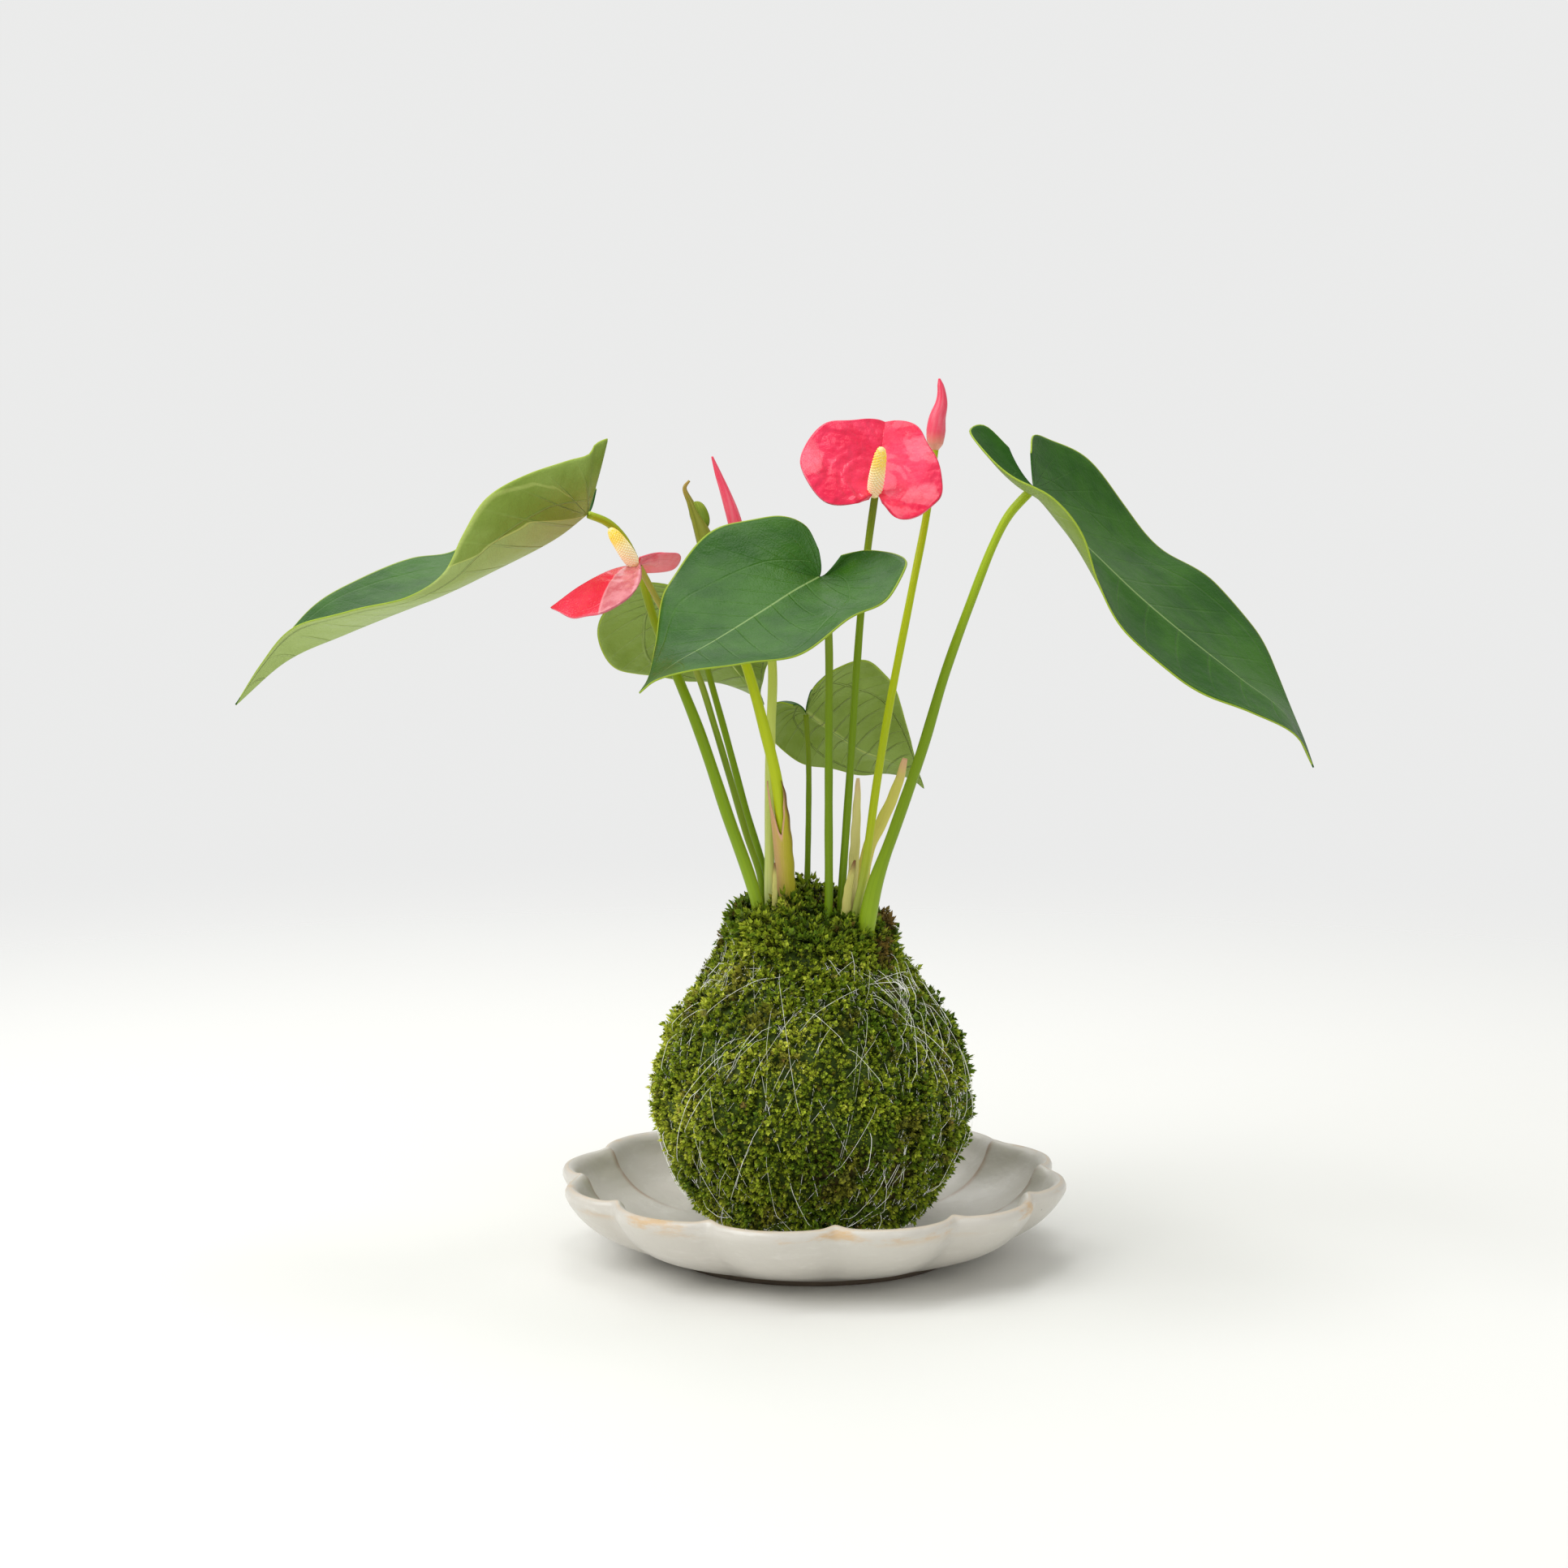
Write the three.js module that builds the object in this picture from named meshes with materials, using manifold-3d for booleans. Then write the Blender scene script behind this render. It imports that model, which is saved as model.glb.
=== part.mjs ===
// A kokedama: a moss-covered ball of soil with a flamingo flower growing out of its crown,
// bound with a fine thread and resting in the well of a scalloped, glazed dish.
// Millimetres, +Z up. The origin is the middle of the dish's flat foot.
import * as THREE from 'three';
import { mergeVertices } from 'three/addons/utils/BufferGeometryUtils.js';
import Module from 'manifold-3d';

const wasm = await Module();
wasm.setup();

// Driving dimensions
const GAP = 0.3;
const DISH_LOBES = 12;
const DISH_RADIUS = 98.5;
const DISH_NOTCH_RADIUS = 90.2;
const DISH_FIRST_NOTCH = THREE.MathUtils.degToRad(4.9);
const DISH_WELL_HEIGHT = 8.2;
const BALL_CENTRE_HEIGHT = 62;
const MOSS_THICKNESS = 9;
const MOSS_TUFT_HEIGHT = 1.8;
const LOWEST_TUFT = 0.6;
const TALLEST_TUFT = 1.4;
const MOSS_SETTLED = 1.4;
const THREAD_DIAMETER = 0.9;
const THREAD_TURNS = 4;
const LEAF_THICKNESS = 0.9;
const SPATHE_THICKNESS = 0.9;
const SHEATH_THICKNESS = 0.8;
const STEM_SIDES = 8;
const WELD = 1e-4;

// Clear room that holes leave beyond the gap, so that facets of two pieces never meet
const HOLE_SLACK = 0.05;
const SEAT_SLACK = 0.1;
const BLADE_SLACK = 0.5;

// Colours of the real surfaces
const LEAF_GREEN = 0x2f5d2a;
const YOUNG_LEAF_GREEN = 0x7d8c35;
const STEM_GREEN = 0x6f9a22;
const STEM_YELLOW_GREEN = 0xb4c83c;
const SPATHE_PINK = 0xe8406a;
const SPADIX_YELLOW = 0xf0c878;
const SHEATH_TAN = 0xcfae7c;
const MOSS_GREEN = 0x66752c;
const SOIL_BROWN = 0x3b2c20;
const THREAD_GREY = 0xd8d8d0;
const GLAZE_WHITE = 0xe6e2da;

// Half-section of the dish from the middle of its foot, up the outside, over the lip and down
// into the well: [radius at the middle of a lobe, height, share of the lobes' depth].
const DISH_SECTION = [
  [56, 0, 0], [57, 2.2, 0], [66, 4.5, 0.4], [78, 8.8, 0.75], [88, 14.5, 0.95], [95, 21.5, 1],
  [DISH_RADIUS, 28, 1], [97, 30.8, 1], [93.8, 29.8, 1], [90, 23.5, 0.95], [82, 16.5, 0.8],
  [70, 11.8, 0.5], [56, 9.2, 0.2], [38, DISH_WELL_HEIGHT, 0],
];

// Half-section of the moss ball, from its flat underside to the middle of its crown.
const BALL_SECTION = [
  [23, 8.5], [35, 10.5], [43.5, 16.5], [52, 27], [57, 38], [61, 50], [62, 60], [61, 70],
  [58, 82], [53, 93], [47, 102.5], [41, 111], [36, 119], [32.5, 127], [29, 132], [20, 134.5], [6, 136],
];

// The crown slopes down to the front and the right, and a mound of moss stands at its back.
const CROWN_START = 100;
const CROWN_SLOPE = { x: -0.12, y: 0.22 };
const MOUND = { x: -3, y: 13, height: 4.5, radius: 11 };

const vector = ([x, y, z]) => new THREE.Vector3(x, y, z);
const smoothCurve = (points) => new THREE.CatmullRomCurve3(points.map(vector), false, 'centripetal');
const smoothStep = THREE.MathUtils.smoothstep;

// A repeatable random number between 0 and 1 for the whole number given.
function noise(seed) {
  const value = Math.sin(seed * 127.1 + 311.7) * 43758.5453;
  return value - Math.floor(value);
}

function geometryOf(points, triangles) {
  const places = points.flatMap((p) => p.toArray());
  const geometry = new THREE.BufferGeometry();
  geometry.setAttribute('position', new THREE.Float32BufferAttribute(places, 3));
  geometry.setIndex(triangles.flat());
  return geometry;
}

// The solid of a closed mesh, for cutting and joining.
function solidOf(geometry) {
  const bare = geometry.clone();
  bare.deleteAttribute('normal');
  bare.deleteAttribute('uv');
  const merged = mergeVertices(bare, WELD);
  const mesh = new wasm.Mesh({
    numProp: 3,
    vertProperties: new Float32Array(merged.attributes.position.array),
    triVerts: new Uint32Array(merged.index.array),
  });
  return new wasm.Manifold(mesh);
}

// The largest single body of a solid, as a mesh again. Scraps left by a cut are dropped.
function meshOf(solid) {
  const bodies = solid.decompose();
  const largest = bodies.reduce((a, b) => (b.volume() > a.volume() ? b : a));
  const { vertProperties, triVerts } = largest.getMesh();
  const geometry = new THREE.BufferGeometry();
  geometry.setAttribute('position', new THREE.BufferAttribute(vertProperties, 3));
  geometry.setIndex(new THREE.BufferAttribute(triVerts, 1));
  return geometry;
}

function cutAway(geometry, cutters) {
  const solid = cutters.reduce((left, cutter) => left.subtract(solidOf(cutter)), solidOf(geometry));
  return meshOf(solid);
}

// A closed surface of rings of points, one ring above another, with a cap point at each end.
// A tufted one folds along lines between its low points, so each tuft is a small pyramid.
function ringSurface(rings, bottomCap, topCap, tufted = false) {
  const sides = rings[0].length;
  const points = [bottomCap, ...rings.flat(), topCap];
  const top = points.length - 1;
  const triangles = [];
  const at = (ring, side) => 1 + ring * sides + (side % sides);
  for (let side = 0; side < sides; side += 1) {
    triangles.push([0, at(0, side + 1), at(0, side)]);
    triangles.push([top, at(rings.length - 1, side), at(rings.length - 1, side + 1)]);
    for (let ring = 0; ring < rings.length - 1; ring += 1) {
      const [a, b] = [at(ring, side), at(ring, side + 1)];
      const [d, c] = [at(ring + 1, side), at(ring + 1, side + 1)];
      if (tufted && (ring + side) % 2 === 0) {
        triangles.push([a, b, d], [b, c, d]);
      } else {
        triangles.push([a, b, c], [a, c, d]);
      }
    }
  }
  return geometryOf(points, triangles);
}

// A round stem, bud or spadix: a cylinder bent along a smooth curve. The width list holds
// diameters at equal steps along it, and grow makes the whole of it wider for a clear hole.
function bentCylinder(route, widths, { grow = 0, steps = 9, sides = STEM_SIDES } = {}) {
  const curve = smoothCurve(route);
  const frames = curve.computeFrenetFrames(steps, false);
  const geometry = new THREE.CylinderGeometry(1, 1, 1, sides, steps);
  geometry.deleteAttribute('normal');
  geometry.deleteAttribute('uv');
  const position = geometry.attributes.position;
  for (let i = 0; i < position.count; i += 1) {
    const share = 0.5 - position.getY(i);
    const step = Math.round(share * steps);
    const spot = (step / steps) * (widths.length - 1);
    const below = Math.min(Math.floor(spot), widths.length - 2);
    const width = THREE.MathUtils.lerp(widths[below], widths[below + 1], spot - below);
    const radius = width / 2 + grow;
    const point = curve.getPointAt(step / steps)
      .addScaledVector(frames.normals[step], position.getX(i) * radius)
      .addScaledVector(frames.binormals[step], position.getZ(i) * radius);
    position.setXYZ(i, point.x, point.y, point.z);
  }
  return facingOut(mergeVertices(geometry, WELD));
}

function signedVolume(geometry) {
  const { position } = geometry.attributes;
  const corner = (i) => new THREE.Vector3().fromBufferAttribute(position, geometry.index.getX(i));
  let total = 0;
  for (let i = 0; i < geometry.index.count; i += 3) {
    total += corner(i).dot(corner(i + 1).cross(corner(i + 2))) / 6;
  }
  return total;
}

function facingOut(geometry) {
  if (signedVolume(geometry) < 0) {
    const { index } = geometry;
    for (let i = 0; i < index.count; i += 3) {
      const kept = index.getX(i);
      index.setX(i, index.getX(i + 1));
      index.setX(i + 1, kept);
    }
  }
  return geometry;
}

// Normals of an open sheet of triangles at its points.
function sheetNormals({ points, triangles }) {
  const normals = points.map(() => new THREE.Vector3());
  for (const [a, b, c] of triangles) {
    const across = new THREE.Vector3().subVectors(points[b], points[a]);
    const along = new THREE.Vector3().subVectors(points[c], points[a]);
    const normal = across.cross(along);
    [a, b, c].forEach((i) => normals[i].add(normal));
  }
  return normals.map((normal) => normal.normalize());
}

// The edges that only one triangle of a sheet has, in that triangle's direction.
function rimEdges(triangles) {
  const edges = new Map();
  for (const [a, b, c] of triangles) {
    for (const [from, to] of [[a, b], [b, c], [c, a]]) {
      if (edges.has(`${to},${from}`)) {
        edges.delete(`${to},${from}`);
      } else {
        edges.set(`${from},${to}`, [from, to]);
      }
    }
  }
  return [...edges.values()];
}

// A sheet made solid, split into triangles alike on both faces. The rim is how far its
// outline is pushed outwards.
function thicken(sheet, thickness, rim = 0) {
  const normals = sheetNormals(sheet);
  const edges = rimEdges(sheet.triangles);
  const outward = sheet.points.map(() => new THREE.Vector3());
  for (const [from, to] of edges) {
    const direction = new THREE.Vector3().subVectors(sheet.points[to], sheet.points[from]).normalize();
    [from, to].forEach((i) => outward[i].add(direction.clone().cross(normals[i]).normalize()));
  }
  const spread = sheet.points.map((p, i) => p.clone().addScaledVector(outward[i].normalize(), rim));
  const upper = spread.map((p, i) => p.clone().addScaledVector(normals[i], thickness / 2));
  const lower = spread.map((p, i) => p.clone().addScaledVector(normals[i], -thickness / 2));
  const below = sheet.points.length;
  const triangles = sheet.triangles.flatMap(([a, b, c]) => [
    [a, b, c], [c + below, b + below, a + below],
  ]);
  for (const [from, to] of edges) {
    triangles.push([from, from + below, to], [to, from + below, to + below]);
  }
  return facingOut(geometryOf([...upper, ...lower], triangles));
}

// The sheet of a heart-shaped blade. The midrib runs from the stem's joint to the tip. Each
// side's edge starts at the inner end of its lobe and also ends at the tip. Rows follow the
// side veins: those of the lobes fan out from the joint, the others leave the midrib in turn.
function bladeSheet({ midrib, sides, lobeShare, rows = 14, columns = 3, ripple = 1.2 }) {
  const rib = smoothCurve(midrib);
  const points = [rib.getPoint(0), rib.getPoint(1)];
  const triangles = [];
  const ribIndex = [];
  for (let row = 0; row <= rows; row += 1) {
    const past = (row / rows - lobeShare) / (1 - lobeShare);
    if (past <= 0) {
      ribIndex.push(0);
    } else if (row === rows) {
      ribIndex.push(1);
    } else {
      ribIndex.push(points.push(rib.getPointAt(past)) - 1);
    }
  }
  sides.forEach(({ edge, belly }, side) => {
    const margin = smoothCurve([...edge, midrib[midrib.length - 1]]);
    const grid = [];
    for (let row = 0; row < rows; row += 1) {
      const share = row / rows;
      const outer = margin.getPointAt(share);
      const bulge = vector(belly).multiplyScalar(Math.sin(Math.PI * Math.min(1, 0.15 + share)));
      const line = [ribIndex[row]];
      for (let column = 1; column <= columns; column += 1) {
        const out = column / columns;
        const point = points[ribIndex[row]].clone().lerp(outer, out)
          .addScaledVector(bulge, 4 * out * (1 - out));
        point.z += ripple * out * out * marginWave(row, side, share);
        line.push(points.push(point) - 1);
      }
      grid.push(line);
    }
    grid.push(Array(columns + 1).fill(1));
    triangles.push(...gridTriangles(grid, side === 1));
  });
  return { points, triangles };
}

// The gentle waves of a blade's margin, which die away at its tip.
function marginWave(row, side, share) {
  return Math.sin(row * 1.7 + side * 2.1) * Math.min(1, 4 * (1 - share));
}

// Triangles between the lines of a grid of point numbers, without those that have no area.
function gridTriangles(grid, turned) {
  const triangles = [];
  for (let row = 0; row < grid.length - 1; row += 1) {
    for (let column = 0; column < grid[row].length - 1; column += 1) {
      const [a, b] = [grid[row][column], grid[row][column + 1]];
      const [d, c] = [grid[row + 1][column], grid[row + 1][column + 1]];
      for (const corners of [[a, b, c], [a, c, d]]) {
        if (new Set(corners).size === 3) {
          triangles.push(turned ? corners.reverse() : corners);
        }
      }
    }
  }
  return triangles;
}

// The sheet of a dry bract: a ribbon along a route, rounded about it and narrowing to a tip.
// The width is measured over the bend, whose radius is given.
function bractSheet({ route, width, bend, facing, rows = 7, columns = 3 }) {
  const pointedness = 0.97;
  const curve = smoothCurve(route);
  const points = [];
  const grid = [];
  for (let row = 0; row <= rows; row += 1) {
    const line = [];
    const share = row / rows;
    const centre = curve.getPointAt(share);
    const along = curve.getTangentAt(share);
    const front = vector(facing).addScaledVector(along, -vector(facing).dot(along)).normalize();
    const sideways = new THREE.Vector3().crossVectors(along, front);
    const reach = (width / bend / 2) * Math.sqrt(1 - share ** 2 * pointedness);
    for (let column = 0; column <= columns; column += 1) {
      const angle = reach * ((2 * column) / columns - 1);
      const point = centre.clone()
        .addScaledVector(front, bend * Math.cos(angle))
        .addScaledVector(sideways, bend * Math.sin(angle));
      line.push(points.push(point) - 1);
    }
    grid.push(line);
  }
  return { points, triangles: gridTriangles(grid, false) };
}

// Leaves. Points are chosen along each leaf's midrib and edges, from the stem's joint to the
// tip. The belly is how far the middle of a side hangs off the straight line to its edge.
const LEAVES = {
  left_leaf: {
    midrib: [
      [-85, -10, 285.5], [-96, -14, 277], [-118, -20, 265.5], [-140, -25, 255.5],
      [-173.5, -29, 242], [-196, -30, 232], [-215.5, -30, 215.5],
    ],
    lobeShare: 0.3,
    sides: [
      {
        belly: [0, -6, -2],
        edge: [
          [-79.5, -14, 298.5], [-76.5, -20, 312], [-91.5, -28, 308], [-105.5, -33, 302],
          [-121, -38, 292], [-129, -42, 280], [-136, -48, 266], [-148.5, -56, 257],
          [-170, -52, 252.5], [-192, -42, 245], [-205.5, -34, 230.5],
        ],
      },
      {
        belly: [0, 3, -4],
        edge: [
          [-82, -2, 294], [-86.5, 12, 298.5], [-100.5, 24, 296.5], [-113.5, 32, 290],
          [-126.5, 36, 279.5], [-140, 36, 268], [-155.5, 30, 265], [-175, 16, 256],
          [-187.5, 4, 248], [-201, -12, 234.5],
        ],
      },
    ],
  },
  front_leaf: {
    midrib: [
      [2, -22, 262.5], [-7, -34, 258.5], [-16.5, -48, 253.5], [-35.5, -72, 243.5],
      [-51.5, -91, 235.5], [-62, -105, 227.5],
    ],
    lobeShare: 0.35,
    sides: [
      {
        belly: [2, -3, -2],
        edge: [
          [2, -17, 272.5], [-3, -10, 280], [-14, -6, 285], [-30.5, -9, 282],
          [-46.5, -22, 271.5], [-55, -42, 258], [-57.5, -66, 243], [-58.5, -84, 234],
          [-59.5, -94, 231],
        ],
      },
      {
        belly: [-2, 0, -4],
        edge: [
          [10.5, -17, 269.5], [20, -14, 272.5], [29.5, -20, 272.5], [34.5, -32, 268.5],
          [28, -54, 259], [17, -70, 253], [4.5, -86, 246], [-9.5, -98, 240],
          [-25.5, -106, 237], [-43.5, -110, 236.5], [-56, -109, 232.5],
        ],
      },
    ],
  },
  right_leaf: {
    midrib: [
      [82, -22, 296], [93, -24, 282.5], [104, -26, 272], [121.5, -30, 255.5],
      [139.5, -34, 240.5], [157.5, -38, 226.5], [174.5, -41, 213], [185, -43, 193.5],
    ],
    lobeShare: 0.32,
    sides: [
      {
        belly: [-2, -2, -5],
        edge: [
          [73, -15, 310.5], [64, -14, 317.5], [58, -22, 316.5], [63.5, -34, 310],
          [73, -42, 301.5], [87.5, -48, 292], [98, -51, 280], [103.5, -54, 264.5],
          [113, -60, 244.5], [132, -64, 229.5], [160, -60, 215], [177.5, -51, 206],
        ],
      },
      {
        belly: [0, 2, -3],
        edge: [
          [81.5, -12, 307.5], [83.5, 0, 315.5], [91.5, 10, 313], [104, 18, 305],
          [119.5, 22, 288], [135.5, 20, 269], [154, 13, 257.5], [167.5, 3, 243],
          [175, -13, 224.5], [181.5, -32, 206],
        ],
      },
    ],
  },
  rear_left_leaf: {
    midrib: [[-47.5, 34, 249], [-38.5, 50, 232.5], [-27.5, 66, 216], [-19, 80, 204]],
    lobeShare: 0.35,
    sides: [
      {
        belly: [2, 3, 3],
        edge: [
          [-55, 28, 255.5], [-66.5, 28, 255], [-78.5, 32, 249], [-84, 42, 234.5],
          [-80, 52, 224.5], [-69, 62, 217], [-53.5, 70, 216], [-39, 75, 213],
          [-25.5, 79, 209],
        ],
      },
      {
        belly: [-1, 3, 3],
        edge: [
          [-42, 30, 255.5], [-30.5, 34, 253.5], [-20, 44, 244], [-16, 57, 230],
          [-19, 69, 216], [-20.5, 76, 209.5],
        ],
      },
    ],
  },
  rear_right_leaf: {
    midrib: [[-2.5, 20, 207], [5, 28, 200.5], [19.5, 42, 189.5], [37.5, 57, 181], [45, 64, 172]],
    lobeShare: 0.3,
    sides: [
      {
        belly: [1, 3, 3],
        edge: [
          [-7.5, 14, 210.5], [-14, 16, 210.5], [-16.5, 24, 203], [-14, 34, 192.5],
          [0, 45, 183.5], [16, 54, 179.5], [31, 60, 178], [40, 63, 176],
        ],
      },
      {
        belly: [-1, 3, 3],
        edge: [
          [0, 14, 216], [7.5, 12, 224.5], [19.5, 16, 227], [28.5, 26, 221.5],
          [35, 40, 207.5], [40, 54, 189], [42.5, 61, 179.5],
        ],
      },
    ],
  },
};

// Open spathes: heart-shaped like the leaves, each with the spadix standing at its joint.
const SPATHES = {
  main_spathe: {
    midrib: [[23.5, -8, 293.5], [25, 0, 303], [26.5, 9, 313], [27.5, 16, 319]],
    lobeShare: 0.4,
    rows: 12,
    ripple: 0.8,
    sides: [
      {
        belly: [0, -2, 1],
        edge: [
          [20.5, -13, 291], [14.5, -20, 289], [5, -22, 291], [-2.5, -18, 298],
          [-5, -11, 305.5], [-2, -3, 313], [6.5, 5, 319], [17.5, 11, 320.5],
          [24.5, 14, 320],
        ],
      },
      {
        belly: [0, -2, 1],
        edge: [
          [26, -14, 289], [32, -21, 285], [40, -22, 285.5], [47.5, -16, 292],
          [48, -8, 301], [44, 1, 310.5], [40, 8, 317.5], [32, 13, 319.5],
        ],
      },
    ],
  },
  side_spathe: {
    midrib: [[-65, -28, 267.5], [-74, -31, 266], [-85.5, -36, 260.5], [-97, -41, 252.5]],
    lobeShare: 0.4,
    rows: 12,
    ripple: 0.5,
    sides: [
      {
        belly: [0, -1, 2],
        edge: [
          [-63.5, -38, 265], [-64.5, -48, 262], [-68, -54, 256.5], [-75.5, -56, 253],
          [-81.5, -54, 250.5], [-87.5, -50, 249.5], [-94, -44, 251.5],
        ],
      },
      {
        belly: [0, 1, 1],
        edge: [
          [-61.5, -22, 270], [-56, -15, 270.5], [-50.5, -9, 267], [-54.5, -5, 263],
          [-64, -5, 263], [-77, -9, 261.5], [-87, -20, 257], [-93.5, -33, 253],
        ],
      },
    ],
  },
};

// Leaf and flower stems, from their foot in the soil to the joint of what they carry.
// The last field names the blade that the stem's top is fitted to.
const STEMS = {
  left_leaf_stem: {
    route: [
      [-19, -10, 112], [-21, -7, 135.5], [-33, -8, 172.5], [-43.5, -5, 203.5], [-52, -2, 224.5],
      [-60, 1, 243.5], [-66, 1, 263.5], [-71.5, -2, 275.5], [-77.5, -6, 282], [-85, -10, 285.5],
    ],
    widths: [4.8, 4.8, 4.2, 3.4, 3],
    fits: 'left_leaf',
  },
  front_leaf_stem: {
    route: [
      [5, -7.5, 110], [6, -6.5, 132.5], [6, -7, 172], [6, -8, 209.5], [6, -10, 234.5], [5, -16, 252],
      [2, -22, 262.5],
    ],
    widths: [3.2, 3.2, 3.1, 3, 2.8],
    fits: 'front_leaf',
  },
  right_leaf_stem: {
    route: [
      [17.5, -14.5, 109], [20, -13.5, 127], [23.5, -14, 145], [31, -15, 167], [41, -16, 196.5],
      [49.5, -18, 226], [58.5, -20, 252], [67.5, -21, 275.5], [73, -22, 286], [82, -22, 296],
    ],
    widths: [6.5, 7, 4.6, 4.2, 4, 3.6, 3.4, 3.2, 3],
    fits: 'right_leaf',
  },
  rear_left_leaf_stem: {
    route: [
      [-15.5, 11, 114], [-18, 12.5, 143], [-25.5, 15, 169], [-34, 21, 200], [-40.5, 27, 222.5],
      [-45, 31, 238.5], [-47.5, 34, 249],
    ],
    widths: [2.8, 2.8, 2.6, 2.4],
    fits: 'rear_left_leaf',
  },
  rear_right_leaf_stem: {
    route: [[-2.5, 12, 114], [-2, 13, 142], [-1.5, 15, 169], [-1.5, 17, 188], [-2.5, 20, 207]],
    widths: [2.3, 2.3, 2.2, 2],
    fits: 'rear_right_leaf',
  },
  young_leaf_stem: {
    route: [
      [-8.5, 2, 110], [-10, 1.5, 139.5], [-11.5, 0, 161.5], [-14, -2, 184], [-19, -3, 205.5],
      [-25, -1, 226.5], [-30.5, 2, 241], [-33.5, 4, 250.5],
    ],
    widths: [4.8, 4.8, 4.6, 4, 3.4],
  },
  main_flower_stem: {
    route: [
      [9.5, -1.5, 110], [10.5, -2.5, 131.5], [14, -3, 184], [18, -3, 246], [20.5, -4, 271],
      [23.5, -8, 293.5],
    ],
    widths: [3, 3, 2.9, 2.8],
    fits: 'main_spathe',
  },
  side_flower_stem: {
    route: [
      [-21, 5, 113], [-19.5, 6, 141.5], [-25.5, 5, 162], [-37, -3, 203], [-44, -11, 226],
      [-52.5, -18, 243], [-58, -23, 253.5], [-62, -26, 261.5], [-65, -28, 267.5],
    ],
    widths: [2.6, 2.6, 2.5, 2.4],
    fits: 'side_spathe',
  },
  right_bud_stem: {
    route: [
      [14.5, -5.5, 110], [16.5, -4, 132.5], [19.5, -2, 146.5], [24.5, 4, 181.5], [30, 9, 214],
      [38.5, 16, 257], [44, 21, 285], [47, 24, 308.5],
    ],
    widths: [3.4, 3.2, 3, 2.8],
  },
  left_bud_stem: {
    route: [
      [-14.5, 0.5, 110], [-16.5, 1.5, 135.5], [-16.5, 6, 161], [-16.5, 9.5, 184], [-16, 12, 202],
      [-15.5, 14, 226.5], [-18, 16, 245], [-23.5, 17, 260.5], [-28, 17, 273],
    ],
    widths: [4, 3.8, 3.6, 3],
  },
};

// Furled pieces at the top of a stem, of which each is its stem's continuation.
const FURLED = {
  young_leaf: {
    route: [
      [-33.5, 4, 250.5], [-39, 6, 267], [-43.5, 7, 279.5], [-47, 7, 288.5], [-49.5, 7, 294],
      [-46, 7, 297],
    ],
    widths: [3.4, 6.5, 7.6, 6.4, 4, 2.4, 1],
    steps: 12,
  },
  left_bud: {
    route: [[-28, 17, 273], [-30, 17, 282], [-33.5, 17, 292.5], [-36, 17, 299], [-38.5, 17, 306]],
    widths: [3, 6.4, 5.6, 4.2, 2.8, 0.8],
    steps: 10,
  },
  right_bud: {
    route: [
      [47, 24, 308.5], [47.5, 24, 314.5], [48, 24, 320], [49.5, 24, 326], [49.5, 24, 330.5],
      [48.5, 24, 335.5],
    ],
    widths: [2.8, 6.8, 8.2, 7, 4.4, 3.2, 0.8],
    steps: 12,
  },
};

// The lobe of the young leaf that has begun to unroll: half its sizes, its lean and its middle.
const YOUNG_LOBE = { reach: [3.4, 1.2, 5.6], lean: -0.35, middle: [-43.2, 6.4, 284] };

const SPADICES = {
  main_spadix: {
    route: [[23, -9.5, 293.8], [24, -18, 302], [25.5, -24, 310.5]],
    widths: [6, 5.6, 4.8, 3.6, 1.2],
    fits: 'main_spathe',
  },
  side_spadix: {
    route: [[-67, -30, 268.5], [-71, -33, 275], [-75, -34, 281]],
    widths: [4.8, 4.6, 4, 3, 1.2],
    fits: 'side_spathe',
  },
};

// Dry sheaths and bracts at the feet of the stems.
const BRACTS = {
  young_leaf_sheath: {
    route: [[-9.7, 1.7, 131], [-10, 1.5, 139.5], [-11.5, 0, 161.5], [-14, -2, 184]],
    width: 11,
    bend: 3.6,
    facing: [-0.3, -1, 0],
  },
  middle_bract: {
    route: [[13.2, 4.5, 127], [15.2, 4.5, 156], [16.2, 4.5, 184]],
    width: 4,
    bend: 3,
    facing: [0.4, -1, 0],
  },
  leaning_bract: {
    route: [[17.5, 7, 128], [20, 10, 154], [27.5, 12, 168], [34, 13, 180], [38, 13, 190]],
    width: 4,
    bend: 4,
    facing: [0.3, -1, 0],
  },
  front_bract: {
    route: [[12, -8, 124], [13.5, -7.5, 143], [16, -7.5, 154]],
    width: 3.8,
    bend: 2.6,
    facing: [0, -1, 0],
  },
  left_bract: {
    route: [[-14.5, -7.5, 128], [-14.5, -8, 153]],
    width: 3,
    bend: 1.8,
    facing: [0, -1, 0],
  },
  right_bract: {
    route: [[19.5, -5, 124], [24, -5.5, 148], [27, -5.5, 157]],
    width: 3,
    bend: 2,
    facing: [0, -1, 0],
  },
};

// The dish's outline as a share of its greatest radius: twelve arcs that meet in sharp notches.
function lobeRadius(angle) {
  const halfLobe = Math.PI / DISH_LOBES;
  const chordMiddle = DISH_NOTCH_RADIUS * Math.cos(halfLobe);
  const halfChord = DISH_NOTCH_RADIUS * Math.sin(halfLobe);
  const rise = DISH_RADIUS - chordMiddle;
  const arcRadius = (halfChord ** 2 + rise ** 2) / (2 * rise);
  const arcCentre = DISH_RADIUS - arcRadius;
  const turn = (angle - DISH_FIRST_NOTCH) / (2 * halfLobe);
  const offset = (turn - Math.floor(turn) - 0.5) * 2 * halfLobe;
  const across = arcCentre * Math.sin(offset);
  return (arcCentre * Math.cos(offset) + Math.sqrt(arcRadius ** 2 - across ** 2)) / DISH_RADIUS;
}

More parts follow.
